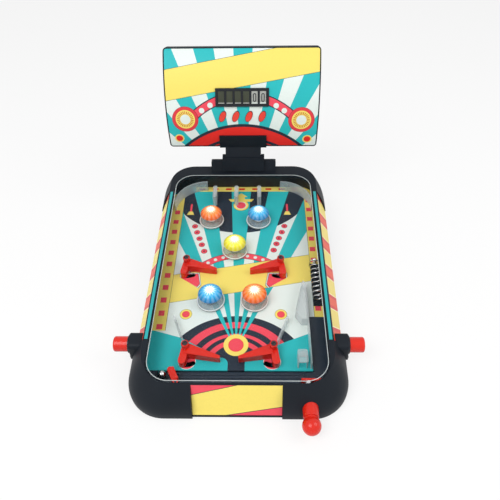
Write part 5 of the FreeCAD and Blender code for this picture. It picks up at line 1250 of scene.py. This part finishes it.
class Bench:
    """Modelling steps that the sub-assemblies share, each made with Blender's operators.

    A piece is modelled in millimetres round the origin, and set_down puts it in its place.
    """

    def pick(self, *pieces: bpy.types.Object) -> None:
        """Leaves edit mode and selects these pieces alone, the first one active.

        Args:
            *pieces: The pieces. The first one becomes the active one.
        """
        if bpy.context.object and bpy.context.object.mode != "OBJECT":
            bpy.ops.object.mode_set(mode="OBJECT")
        bpy.ops.object.select_all(action="DESELECT")
        for piece in pieces:
            piece.select_set(True)
        if pieces:
            bpy.context.view_layer.objects.active = pieces[0]

    def close(self, name: str) -> bpy.types.Object:
        """Leaves edit mode and names the piece.

        Args:
            name: The piece's name.

        Returns:
            The piece.
        """
        bpy.ops.object.mode_set(mode="OBJECT")
        piece = bpy.context.object
        piece.name = piece.data.name = name
        return piece

    def block(self, name: str, size: tuple[float, float, float], edge: float) -> bpy.types.Object:
        """Models a block with rounded edges.

        Args:
            name: The piece's name.
            size: Its length along X, Y and Z.
            edge: The rounding of its edges.

        Returns:
            The piece.
        """
        self.pick()
        bpy.ops.mesh.primitive_cube_add(size=1)
        bpy.ops.object.mode_set(mode="EDIT")
        bpy.ops.mesh.select_all(action="SELECT")
        bpy.ops.transform.resize(value=size, center_override=(0, 0, 0))
        bpy.ops.mesh.bevel(offset=edge, segments=3, affect="EDGES")
        return self.close(name)

    def sink(self, piece: bpy.types.Object, rim: float, depth: float) -> None:
        """Insets a piece's top face and lowers it.

        Args:
            piece: The piece.
            rim: The width that stays at the edge.
            depth: How far the middle goes down.
        """
        self.pick(piece)
        top = max(vertex.co.z for vertex in piece.data.vertices)
        for polygon in piece.data.polygons:
            polygon.select = polygon.center.z > top - 0.001
        for vertex in piece.data.vertices:
            vertex.select = False
        bpy.ops.object.mode_set(mode="EDIT")
        bpy.ops.mesh.select_mode(type="FACE")
        bpy.ops.mesh.inset(thickness=rim)
        bpy.ops.transform.translate(value=(0, 0, -depth))
        bpy.ops.mesh.select_mode(type="VERT")
        bpy.ops.object.mode_set(mode="OBJECT")

    def turned(
        self, name: str, profile: tuple[Point, ...], steps: int = 48
    ) -> bpy.types.Object:
        """Turns a profile about Z.

        Args:
            name: The piece's name.
            profile: The corners as radius and height, in order.
            steps: Facets in a full turn.

        Returns:
            The piece.
        """
        self.pick()
        bpy.ops.mesh.primitive_plane_add(size=1)
        bpy.ops.object.mode_set(mode="EDIT")
        bpy.ops.mesh.select_all(action="SELECT")
        bpy.ops.mesh.merge(type="CENTER")
        bpy.ops.transform.translate(value=(profile[0][0], 0, profile[0][1]))
        for start, end in zip(profile, profile[1:]):
            step = (end[0] - start[0], 0, end[1] - start[1])
            bpy.ops.mesh.extrude_region_move(TRANSFORM_OT_translate={"value": step})
        bpy.ops.mesh.select_all(action="SELECT")
        bpy.ops.mesh.spin(steps=steps, angle=math.tau, center=(0, 0, 0), axis=(0, 0, 1))
        bpy.ops.mesh.select_all(action="SELECT")
        bpy.ops.mesh.remove_doubles(threshold=0.001)
        bpy.ops.mesh.normals_make_consistent(inside=False)
        return self.close(name)

    def hoop(
        self, name: str, size: Point, corner: float, band: float, depth: float
    ) -> bpy.types.Object:
        """Models a flat frame with round corners.

        Args:
            name: The piece's name.
            size: Its outer width and height.
            corner: The outer corners' radius.
            band: The frame's width.
            depth: Its thickness along Z.

        Returns:
            The piece.
        """
        self.pick()
        bpy.ops.mesh.primitive_plane_add(size=1)
        bpy.ops.object.mode_set(mode="EDIT")
        bpy.ops.mesh.select_all(action="SELECT")
        bpy.ops.transform.resize(value=(*size, 1), center_override=(0, 0, 0))
        bpy.ops.mesh.bevel(offset=corner, segments=10, affect="VERTICES")
        bpy.ops.mesh.select_all(action="SELECT")
        bpy.ops.mesh.inset(thickness=band)
        bpy.ops.mesh.delete(type="FACE")
        bpy.ops.mesh.select_all(action="SELECT")
        bpy.ops.mesh.extrude_region_move(TRANSFORM_OT_translate={"value": (0, 0, depth)})
        bpy.ops.mesh.select_all(action="SELECT")
        bpy.ops.mesh.normals_make_consistent(inside=False)
        return self.close(name)

    def copy(self, piece: bpy.types.Object, name: str) -> bpy.types.Object:
        """Copies a modelled piece with a mesh of its own.

        Args:
            piece: The piece to copy.
            name: The copy's name.

        Returns:
            The copy.
        """
        self.pick(piece)
        bpy.ops.object.duplicate(linked=False)
        return self.close(name)

    def carve(self, piece: bpy.types.Object, cutter: bpy.types.Object) -> None:
        """Cuts one piece out of another and takes the cutter away.

        Args:
            piece: The piece that is cut.
            cutter: The piece whose form is cut out of it.
        """
        self.pick(piece)
        bpy.ops.object.modifier_add(type="BOOLEAN")
        modifier = piece.modifiers[-1]
        modifier.object = cutter
        modifier.operation = "DIFFERENCE"
        bpy.ops.object.modifier_apply(modifier=modifier.name)
        bpy.data.objects.remove(cutter)

    def notch(
        self, piece: bpy.types.Object, size: tuple[float, float, float], height: float
    ) -> None:
        """Cuts a straight slot into a piece.

        Args:
            piece: The piece.
            size: The slot's length along X, Y and Z.
            height: How high the slot's middle is.
        """
        cutter = self.block("slot_cutter", size, 0.1)
        cutter.location = (0, 0, height)
        self.carve(piece, cutter)

    def cross_screw(
        self, name: str, profile: tuple[Point, ...], cross: tuple[float, float, float]
    ) -> bpy.types.Object:
        """Models a screw's head with a cross cut into it.

        Args:
            name: The piece's name.
            profile: The head's corners as radius and height, in order.
            cross: The cross's length, the width of its arms and the cutter's height.

        Returns:
            The piece.
        """
        screw = self.turned(name, profile, 32)
        length, width, height = cross
        for size in ((length, width, height), (width, length, height)):
            self.notch(screw, size, profile[-1][1])
        return screw

    def set_down(
        self, piece: bpy.types.Object, place: Matrix, finish: Finish, body: str
    ) -> None:
        """Puts a piece in its place, dresses it and lets it ride.

        Args:
            piece: The piece, modelled round the origin.
            place: The matrix to its place in the row frame.
            finish: Its finish.
            body: The body that it rides.
        """
        self.pick(piece)
        piece.matrix_world = place
        bpy.ops.object.transform_apply(location=True, rotation=True, scale=True)
        bpy.ops.object.shade_smooth_by_angle(angle=SMOOTH_ANGLE)
        piece.data.materials.clear()
        piece.data.materials.append(finished(finish))
        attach(piece, body)
        LOG.info("made %s in %s", piece.name, finish.name)


BENCH = Bench()


def on_deck(x: float, u: float, w: float) -> Matrix:
    """Returns the matrix of a place in the deck's frame, given in millimetres."""
    return DECK.matrix() @ Matrix.Translation((x, u, w))


def on_table(x: float, y: float, z: float) -> Matrix:
    """Returns the matrix of a place in the row frame, given in millimetres."""
    return Matrix.Scale(MM, 4) @ Matrix.Translation((x, y, z))


@dataclass(frozen=True)
class Cabinet:
    """The rim, the fascias, the side walls, the front card and the raised window."""

    window_size: Point = (222.6, 377.4)
    window_middle: float = 191.6
    window_corner: float = 29.2
    bead: float = 0.9
    bead_depth: float = 0.45
    cover_top: float = 1.8

    def build(self) -> None:
        """Dresses the shells and models a pale bead along the window's edge, a painted highlight
        of the cover's rim.
        """
        dress(BLACK, "rim_frame", "front_fascia", "rear_fascia", "lower_housing")
        dress(TEAL, "trim_strips")
        dress(WINDOW, "window_cover")
        dress(SidePrint(), "side_panel_left", "side_panel_right")
        dress(LabelPrint(), "front_label")
        # a pale bead round the window: painted highlight of the cover's rim
        edge = BENCH.hoop(
            "window_edge_highlight", self.window_size, self.window_corner, self.bead, self.bead_depth
        )
        place = on_deck(0.0, self.window_middle, self.cover_top - self.bead_depth / 2)
        BENCH.set_down(edge, place, EDGE_HIGHLIGHT, "cabinet")


@dataclass(frozen=True)
class Buttons:
    """The push buttons with their housings, link bars and return springs."""

    along: float = 66.0
    depth: float = 20.5
    face: float = 142.0
    shade_ring: tuple[Point, ...] = (
        (10.5, -0.6),
        (10.5, 0.5),
        (10.8, 0.8),
        (11.4, 0.8),
        (11.7, 0.5),
        (11.7, -0.6),
        (10.5, -0.6),
    )

    def build(self) -> None:
        """Dresses the buttons and models a dark gloss ring round each cap, shaped like a bushing,
        as painted shade where the cap enters its housing.
        """
        dress(BLACK, "button_housing_left", "button_housing_right")
        dress(BLACK, "link_bar_left", "link_bar_right")
        dress(RED, "button_cap_left", "button_cap_right")
        dress(STEEL, "return_spring_left", "return_spring_right")
        # a dark ring round each cap: painted shade where the cap enters its housing
        first = BENCH.turned("button_shade_ring_left", self.shade_ring)
        for piece, side in ((BENCH.copy(first, "button_shade_ring_right"), 1), (first, -1)):
            turn = Matrix.Rotation(side * math.pi / 2, 4, "Y")
            place = on_deck(side * self.face, self.along, -self.depth) @ turn
            BENCH.set_down(piece, place, BLACK_GLOSS, "cabinet")


@dataclass(frozen=True)
class Playfield:
    """The printed deck, the ball trough, the clear guides, the lane's coil and its mat."""

    rail_size: tuple[float, float, float] = (172.0, 1.3, 0.9)
    rail_middle: float = 2.0
    rail_rows: Point = (26.4, 31.0)
    trough_floor: float = -37.0
    mat_size: tuple[float, float, float] = (13.4, 78.0, 0.3)
    mat_spot: Point = (109.9, 175.0)

    def build(self) -> None:
        """Dresses the deck and models the trough's rails and the coil's mat."""
        dress(DeckPrint(), "playfield")
        dress(TROUGH, "ball_trough")
        # the guides' whitish edges are painted highlights
        dress(CLEAR, "top_guides", "lane_divider", "inlane_guides")
        dress(STEEL, "lane_coil")
        dress(WHITE, "coil_post")
        first = BENCH.block("trough_rail_front", self.rail_size, 0.3)
        pieces = (BENCH.copy(first, "trough_rail_back"), first)
        for piece, row in zip(pieces, self.rail_rows[::-1]):
            place = on_deck(self.rail_middle, row, self.trough_floor + self.rail_size[2] / 2)
            BENCH.set_down(piece, place, TROUGH, "cabinet")
        mat = BENCH.block("coil_mat", self.mat_size, 0.12)
        place = on_deck(*self.mat_spot, DECK.surface + self.mat_size[2] / 2)
        BENCH.set_down(mat, place, BLACK, "cabinet")


@dataclass(frozen=True)
class Flippers:
    """The four flippers and the slotted heads of the pins that they turn on."""

    names: tuple[str, ...] = ("lower_left", "lower_right", "upper_left", "upper_right")
    spots: tuple[Point, ...] = ((-69.1, 63.4), (45.4, 63.4), (-81.6, 209.8), (58.5, 209.5))
    hub_top: float = -13.7
    head: tuple[Point, ...] = ((0.0, 0.0), (3.7, 0.0), (3.7, 0.5), (3.3, 0.9), (0.0, 1.1))
    slot_size: tuple[float, float, float] = (9.0, 0.8, 1.2)
    slot_turn: float = 35.0

    def build(self) -> None:
        """Dresses the flippers and models their pins' heads."""
        dress(RED, *["flipper_" + name for name in self.names])
        dress(DARK_STEEL, "flipper_pivots")
        first = BENCH.turned("pin_head_" + self.names[0], self.head)
        for height in (0.0, self.head[-1][1]):
            BENCH.notch(first, self.slot_size, height)
        pieces = [BENCH.copy(first, "pin_head_" + name) for name in self.names[1:]]
        turn = Matrix.Rotation(math.radians(self.slot_turn), 4, "Z")
        for piece, spot in zip([first, *pieces], self.spots):
            place = on_deck(*spot, self.hub_top) @ turn
            BENCH.set_down(piece, place, DARK_STEEL, "cabinet")


@dataclass(frozen=True)
class Bumpers:
    """Five bumpers: stem, lamp, lit dome with its bead, and the clear skirt with its collar."""

    spots: tuple[tuple[str, Point], ...] = (
        ("top_left", (-51.1, 305.0)),
        ("top_right", (25.5, 305.0)),
        ("middle", (-10.8, 239.6)),
        ("lower_left", (-42.0, 143.6)),
        ("lower_right", (20.0, 143.7)),
    )
    bead_height: float = -15.5
    hem_height: float = -29.9
    collar_height: float = -27.7
    bead: tuple[Point, ...] = (
        (15.4, 0.0),
        (16.6, 0.0),
        (17.0, 0.5),
        (16.7, 1.2),
        (16.4, 0.8),
        (15.4, 0.0),
    )
    hem: tuple[Point, ...] = (
        (18.2, 0.0),
        (19.8, 0.0),
        (19.8, 0.5),
        (19.2, 0.9),
        (18.4, 0.5),
        (18.2, 0.0),
    )
    collar: tuple[Point, ...] = (
        (5.3, 0.0),
        (6.7, 0.0),
        (7.2, 0.5),
        (6.5, 1.5),
        (5.3, 1.9),
        (5.3, 0.0),
    )

    def finish_of(self, name: str) -> LitCap:
        """Returns the finish of a bumper's dome."""
        if name == "middle":
            return YELLOW_CAP
        return ORANGE_CAP if name in ("top_left", "lower_right") else BLUE_CAP

    def build(self) -> None:
        """Dresses the bumpers and models their beads, hems and collars."""
        dress(CLEAR, "bumper_stems")
        dress(SKIRT, *["bumper_skirt_" + name for name, _ in self.spots])
        dress(LAMP, "bumper_lamps")
        dress(ORANGE_CAP, "bumper_caps_orange")
        dress(BLUE_CAP, "bumper_caps_blue")
        dress(YELLOW_CAP, "bumper_caps_yellow")
        bead = BENCH.turned("bead_pattern", self.bead, 56)
        collar = BENCH.turned("collar_pattern", self.collar, 40)
        hem = BENCH.turned("hem_pattern", self.hem, 64)
        slots = {ORANGE_CAP: "cap_orange", BLUE_CAP: "cap_blue", YELLOW_CAP: "cap_yellow"}
        for name, spot in self.spots:
            cap = self.finish_of(name)
            skirt = "skirt_" + name
            # hems and collars take a pale colour: painted highlight on the skirts' moulded rims
            for pattern, kind, height, finish, body, slot in (
                (bead, "cap_bead_", self.bead_height, cap, "cabinet", slots[cap]),
                (hem, "skirt_hem_", self.hem_height, PALE_RIM_HIGHLIGHT, skirt, "clear"),
                (collar, "skirt_collar_", self.collar_height, PALE_RIM_HIGHLIGHT, skirt, "clear"),
            ):
                piece = BENCH.copy(pattern, kind + name)
                BENCH.set_down(piece, on_deck(*spot, height), finish, body)
        for pattern in (bead, collar, hem):
            bpy.data.objects.remove(pattern)


@dataclass(frozen=True)
class Plunger:
    """The plunger's knob, rod, collar and spring, and the ball with its release lever."""

    spot: Point = (88.0, -28.0)
    ring_place: float = -29.6
    ring: tuple[Point, ...] = (
        (7.6, 0.0),
        (8.5, 0.2),
        (8.9, 0.8),
        (8.5, 1.4),
        (7.6, 1.6),
        (7.6, 0.0),
    )
    lever_pivot: Point = (-77.0, 15.0)
    lever_angle: float = 117.0
    grip_size: tuple[float, float, float] = (18.5, 9.0, 10.4)
    grip_middle: tuple[float, float, float] = (12.2, -0.7, -28.0)
    grip_edge: float = 0.9

    def build(self) -> None:
        """Dresses the plunger and models the bead round the knob's neck."""
        dress(RED, "plunger_knob", "plunger_rod", "plunger_collar", "release_lever")
        dress(STEEL, "plunger_spring", "steel_ball")
        self.build_grip()
        ring = BENCH.turned("knob_bead", self.ring, 40)
        x, height = self.spot
        place = on_deck(x, self.ring_place, height) @ Matrix.Rotation(math.pi / 2, 4, "X")
        BENCH.set_down(ring, place, RED, "plunger")

    def build_grip(self) -> None:
        """Models the thick grip on the release lever's arm, hollowed on top."""
        grip = BENCH.block("lever_grip", self.grip_size, self.grip_edge)
        BENCH.sink(grip, 1.2, 0.6)
        along, across, height = self.grip_middle
        turn = Matrix.Rotation(math.radians(self.lever_angle), 4, "Z")
        place = on_deck(*self.lever_pivot, height) @ turn
        place @= Matrix.Translation((along, across, 0))
        BENCH.set_down(grip, place, RED, "ball_lever")


@dataclass(frozen=True)
class Scoreboard:
    """The curved scoreboard: shell, printed face, display panes, lenses, neck and socket."""

    display_arc: float = 85.75
    pane_size: tuple[float, float, float] = (9.6, 19.0, 0.4)
    pane_count: int = 6
    lit_count: int = 2
    pane_pitch: float = 13.0
    pane_height: float = 1.0
    digit_size: Point = (5.2, 12.8)
    digit_corner: float = 2.2
    digit_band: float = 1.5
    digit_depth: float = 0.1
    lens_count: int = 4
    lens_pitch: float = 20.9
    lens_arc: float = 56.3
    lens_size: Point = (4.6, 8.6)
    lens_lean: float = 24.0
    lens_rim: tuple[Point, ...] = (
        (1.02, 0.0),
        (1.12, 0.0),
        (1.12, 0.5),
        (1.07, 0.8),
        (1.02, 0.7),
        (1.02, 0.0),
    )
    depth: float = 17.0
    screw: tuple[Point, ...] = ((0.0, -0.3), (2.9, -0.3), (3.1, 0.3), (2.5, 0.9), (0.0, 1.2))
    screw_cross: tuple[float, float, float] = (4.0, 0.8, 1.4)
    screw_spread: Point = (104.0, 58.0)

    def build(self) -> None:
        """Dresses the scoreboard and models its panes, digits, lens rims and screws."""
        dress(BLACK, "scoreboard_housing", "scoreboard_neck", "scoreboard_socket")
        dress(BLACK_GLOSS, "score_display")
        dress(BoardPrint(), "scoreboard_face")
        dress(LENS, "score_lenses")
        self.build_panes()
        self.build_lens_rims()
        self.build_back_screws()

    def build_panes(self) -> None:
        """Models the six panes and the plain digits on the last two."""
        dull = PanePrint()
        bright = PanePrint("lcd_bright_glass", ground=INKS.silver, line=INKS.pale)
        pane = BENCH.block("pane_pattern", self.pane_size, 0.15)
        digit = BENCH.hoop(
            "digit_pattern", self.digit_size, self.digit_corner, self.digit_band, self.digit_depth
        )
        face = DECK.matrix() @ BOARD.spot(0.0, self.display_arc)
        for index in range(self.pane_count):
            x = (index - (self.pane_count - 1) / 2) * self.pane_pitch
            lit = index >= self.pane_count - self.lit_count
            place = face @ Matrix.Translation((x, 0, self.pane_height))
            piece = BENCH.copy(pane, f"score_pane_{index + 1}")
            BENCH.set_down(piece, place, bright if lit else dull, "cabinet")
            if lit:
                front = place @ Matrix.Translation((0, 0, self.pane_size[2] / 2))
                piece = BENCH.copy(digit, f"score_digit_{index + 1}")
                BENCH.set_down(piece, front, SEGMENT, "cabinet")
        for pattern in (pane, digit):
            bpy.data.objects.remove(pattern)

    def build_lens_rims(self) -> None:
        """Models the thin dark rim round each lens."""
        rim = BENCH.turned("rim_pattern", self.lens_rim)
        oval = Matrix.Diagonal((*self.lens_size, 1.0, 1.0))
        lean = Matrix.Rotation(math.radians(-self.lens_lean), 4, "Z")
        for index in range(self.lens_count):
            x = (index - (self.lens_count - 1) / 2) * self.lens_pitch
            place = DECK.matrix() @ BOARD.spot(x, self.lens_arc) @ lean @ oval
            piece = BENCH.copy(rim, f"lens_rim_{index + 1}")
            BENCH.set_down(piece, place, BLACK_GLOSS, "cabinet")
        bpy.data.objects.remove(rim)

    def build_back_screws(self) -> None:
        """Models the four cross-headed screws that hold the back to the shell."""
        screw = BENCH.cross_screw("screw_pattern", self.screw, self.screw_cross)
        turn = Matrix.Rotation(math.pi, 4, "Y")
        back = BOARD.radius - BOARD.bulge - self.depth
        across, up = self.screw_spread
        corners = [(x, y) for y in (-up, up) for x in (-across, across)]
        for index, (x, y) in enumerate(corners):
            place = DECK.matrix() @ BOARD.frame() @ Matrix.Translation((x, y, back)) @ turn
            piece = BENCH.copy(screw, f"back_screw_{index + 1}")
            BENCH.set_down(piece, place, STEEL, "cabinet")
        bpy.data.objects.remove(screw)


@dataclass(frozen=True)
class Underside:
    """The base's inside and floor: cells, contacts, speaker, circuit board, switch and feet."""

    door_y: float = 98.24
    door_face: float = 2.5
    ridge_size: tuple[float, float, float] = (22.0, 1.2, 0.8)
    ridge_start: float = 6.0
    ridge_pitch: float = 2.6
    ridge_count: int = 5
    screw_y: float = 157.0
    screw: tuple[Point, ...] = ((0.0, -0.2), (3.0, -0.2), (3.2, 0.4), (2.6, 1.1), (0.0, 1.5))
    screw_cross: tuple[float, float, float] = (4.4, 0.8, 1.6)
    board_top: float = 14.5
    capacitor: tuple[Point, ...] = (
        (0.0, 0.0),
        (2.6, 0.0),
        (2.6, 1.0),
        (2.4, 1.3),
        (2.6, 1.6),
        (2.6, 6.2),
        (2.2, 6.6),
        (0.0, 6.6),
    )
    capacitor_spots: tuple[Point, ...] = ((54.0, 82.0), (61.0, 82.0))
    blob: tuple[Point, ...] = ((0.0, 0.0), (5.2, 0.0), (4.8, 0.9), (3.2, 1.6), (0.0, 2.0))
    blob_spot: Point = (98.0, 108.0)

    def build(self) -> None:
        """Dresses the base's nodes and models the door's grip, its screw and the board's parts."""
        dress(BLACK, "battery_box", "battery_door", "power_switch", "speaker")
        dress(CELL, "batteries")
        dress(GREEN, "main_board")
        dress(RUBBER, "rubber_feet")
        dress(STEEL, "deck_screws", "battery_contacts")
        self.build_door()
        self.build_board_parts()

    def build_door(self) -> None:
        """Models the battery door's finger ridges and its screw."""
        ridge = BENCH.block("ridge_pattern", self.ridge_size, 0.35)
        for index in range(self.ridge_count):
            y = self.door_y + self.ridge_start + index * self.ridge_pitch
            piece = BENCH.copy(ridge, f"door_ridge_{index + 1}")
            BENCH.set_down(piece, on_table(0.0, y, self.door_face), BLACK, "cabinet")
        bpy.data.objects.remove(ridge)
        screw = BENCH.cross_screw("door_screw", self.screw, self.screw_cross)
        flip = Matrix.Rotation(math.pi, 4, "X")
        place = on_table(0.0, self.screw_y, self.door_face) @ flip
        BENCH.set_down(screw, place, STEEL, "cabinet")

    def build_board_parts(self) -> None:
        """Models the capacitors and the sealed chip on the circuit board."""
        first = BENCH.turned("board_capacitor_1", self.capacitor, 32)
        twin = BENCH.copy(first, "board_capacitor_2")
        for piece, spot in zip((first, twin), self.capacitor_spots):
            BENCH.set_down(piece, on_table(*spot, self.board_top), CELL, "cabinet")
        blob = BENCH.turned("board_blob", self.blob, 40)
        place = on_table(*self.blob_spot, self.board_top)
        BENCH.set_down(blob, place, EPOXY, "cabinet")


@dataclass(frozen=True)
class Studio:
    """The floor, the light and the camera."""

    eye: tuple[float, float, float] = (27.1, -266.6, 535.0)
    up_hint: tuple[float, float, float] = (9.0, 548.0, 490.0)
    focal_px: float = 490.0
    image_px: float = 500.0
    sensor: float = 36.0
    shift: float = -0.001
    floor_half: float = 6.0
    floor_share: float = 0.74
    fill: float = 0.62
    aim_height: float = 0.08

    def build(self) -> None:
        """Makes the floor, the world, the lamps and the camera."""
        self.build_floor()
        self.build_world()
        self.build_lamps()
        self.build_camera()

    def seen_directly(self, tree: bpy.types.NodeTree) -> bpy.types.NodeSocket:
        """Gives 1 for rays from the camera, from a mirror or through glass.

        Args:
            tree: The node tree that takes the nodes.

        Returns:
            The socket with that value.
        """
        path = add_node(tree, "LightPath")
        seen = path.outputs["Is Camera Ray"]
        for kind in ("Is Glossy Ray", "Is Transmission Ray"):
            rays = (seen, path.outputs[kind])
            seen = add_node(tree, "Math", rays, operation="MAXIMUM").outputs[0]
        return seen

    def build_floor(self) -> None:
        """Makes the pale floor, which keeps the object's shadow."""
        BENCH.pick()
        bpy.ops.mesh.primitive_plane_add(size=2 * self.floor_half)
        floor = bpy.context.object
        floor.name = "floor"
        material, tree = new_material("pale_floor")
        plain = add_node(tree, "BsdfDiffuse", {"Color": linear("F4F4F4")})
        bright = add_node(tree, "Emission", {"Color": (1, 1, 1, 1), "Strength": 1.0})
        seen = self.seen_directly(tree)
        share = add_node(tree, "Math", (seen, self.floor_share), operation="MULTIPLY")
        mix = add_node(tree, "MixShader", (share.outputs[0], plain.outputs[0], bright.outputs[0]))
        finish_material(tree, mix.outputs[0])
        floor.data.materials.append(material)

    def build_world(self) -> None:
        """Makes the world: white where it is seen, soft fill light elsewhere."""
        world = bpy.data.worlds.new("studio")
        bpy.context.scene.world = world
        world.use_nodes = True
        tree = world.node_tree
        tree.nodes.clear()
        seen = self.seen_directly(tree)
        power = add_node(tree, "MapRange", {"Value": seen, "To Min": self.fill, "To Max": 1.0})
        back = add_node(
            tree, "Background", {"Color": (1, 1, 1, 1), "Strength": power.outputs[0]}
        )
        add_node(tree, "OutputWorld", {"Surface": back.outputs[0]})

    def build_lamps(self) -> None:
        """Hangs a large key lamp at the front left and a weaker one at the right."""
        for name, spot, size, power in (
            ("key_lamp", (-0.7, -0.9, 1.5), 1.0, 16.0),
            ("fill_lamp", (1.1, -0.3, 1.2), 0.8, 6.0),
        ):
            bpy.ops.object.light_add(type="AREA", location=spot)
            lamp = bpy.context.object
            lamp.name = name
            lamp.data.size = size
            lamp.data.energy = power
            aim = Vector((0, 0, self.aim_height)) - Vector(spot)
            lamp.rotation_euler = aim.to_track_quat("-Z", "Y").to_euler()

    def build_camera(self) -> None:
        """Stands the camera where the photograph was taken."""
        up = Vector(self.up_hint).normalized()
        slope = up.x / up.z
        right = Vector((1, 0, -slope)).normalized()
        normal = -right.cross(up)
        view = Matrix((right, up, normal)).transposed()
        # the rows of view are the camera's own axes in the deck's frame
        axes = [DECK.turn().to_3x3() @ Vector(row) for row in view]
        turn = Matrix((axes[0], axes[1], -axes[2])).transposed().to_4x4()
        data = bpy.data.cameras.new("camera")
        data.sensor_width = self.sensor
        data.lens = self.focal_px / self.image_px * self.sensor
        data.shift_x = self.shift
        camera = bpy.data.objects.new("camera", data)
        bpy.context.scene.collection.objects.link(camera)
        camera.matrix_world = Matrix.Translation(DECK.place(*self.eye)) @ turn
        bpy.context.scene.camera = camera


def main() -> None:
    """Builds the game's looks and the studio."""
    logging.basicConfig(level=logging.INFO)
    bpy.ops.object.select_all(action="DESELECT")
    bpy.context.scene.view_settings.view_transform = "Standard"
    for assembly in (
        Cabinet(),
        Buttons(),
        Playfield(),
        Flippers(),
        Bumpers(),
        Plunger(),
        Scoreboard(),
        Underside(),
    ):
        assembly.build()
        LOG.info("built %s", type(assembly).__name__)
    Studio().build()


if __name__ == "__main__":
    main()
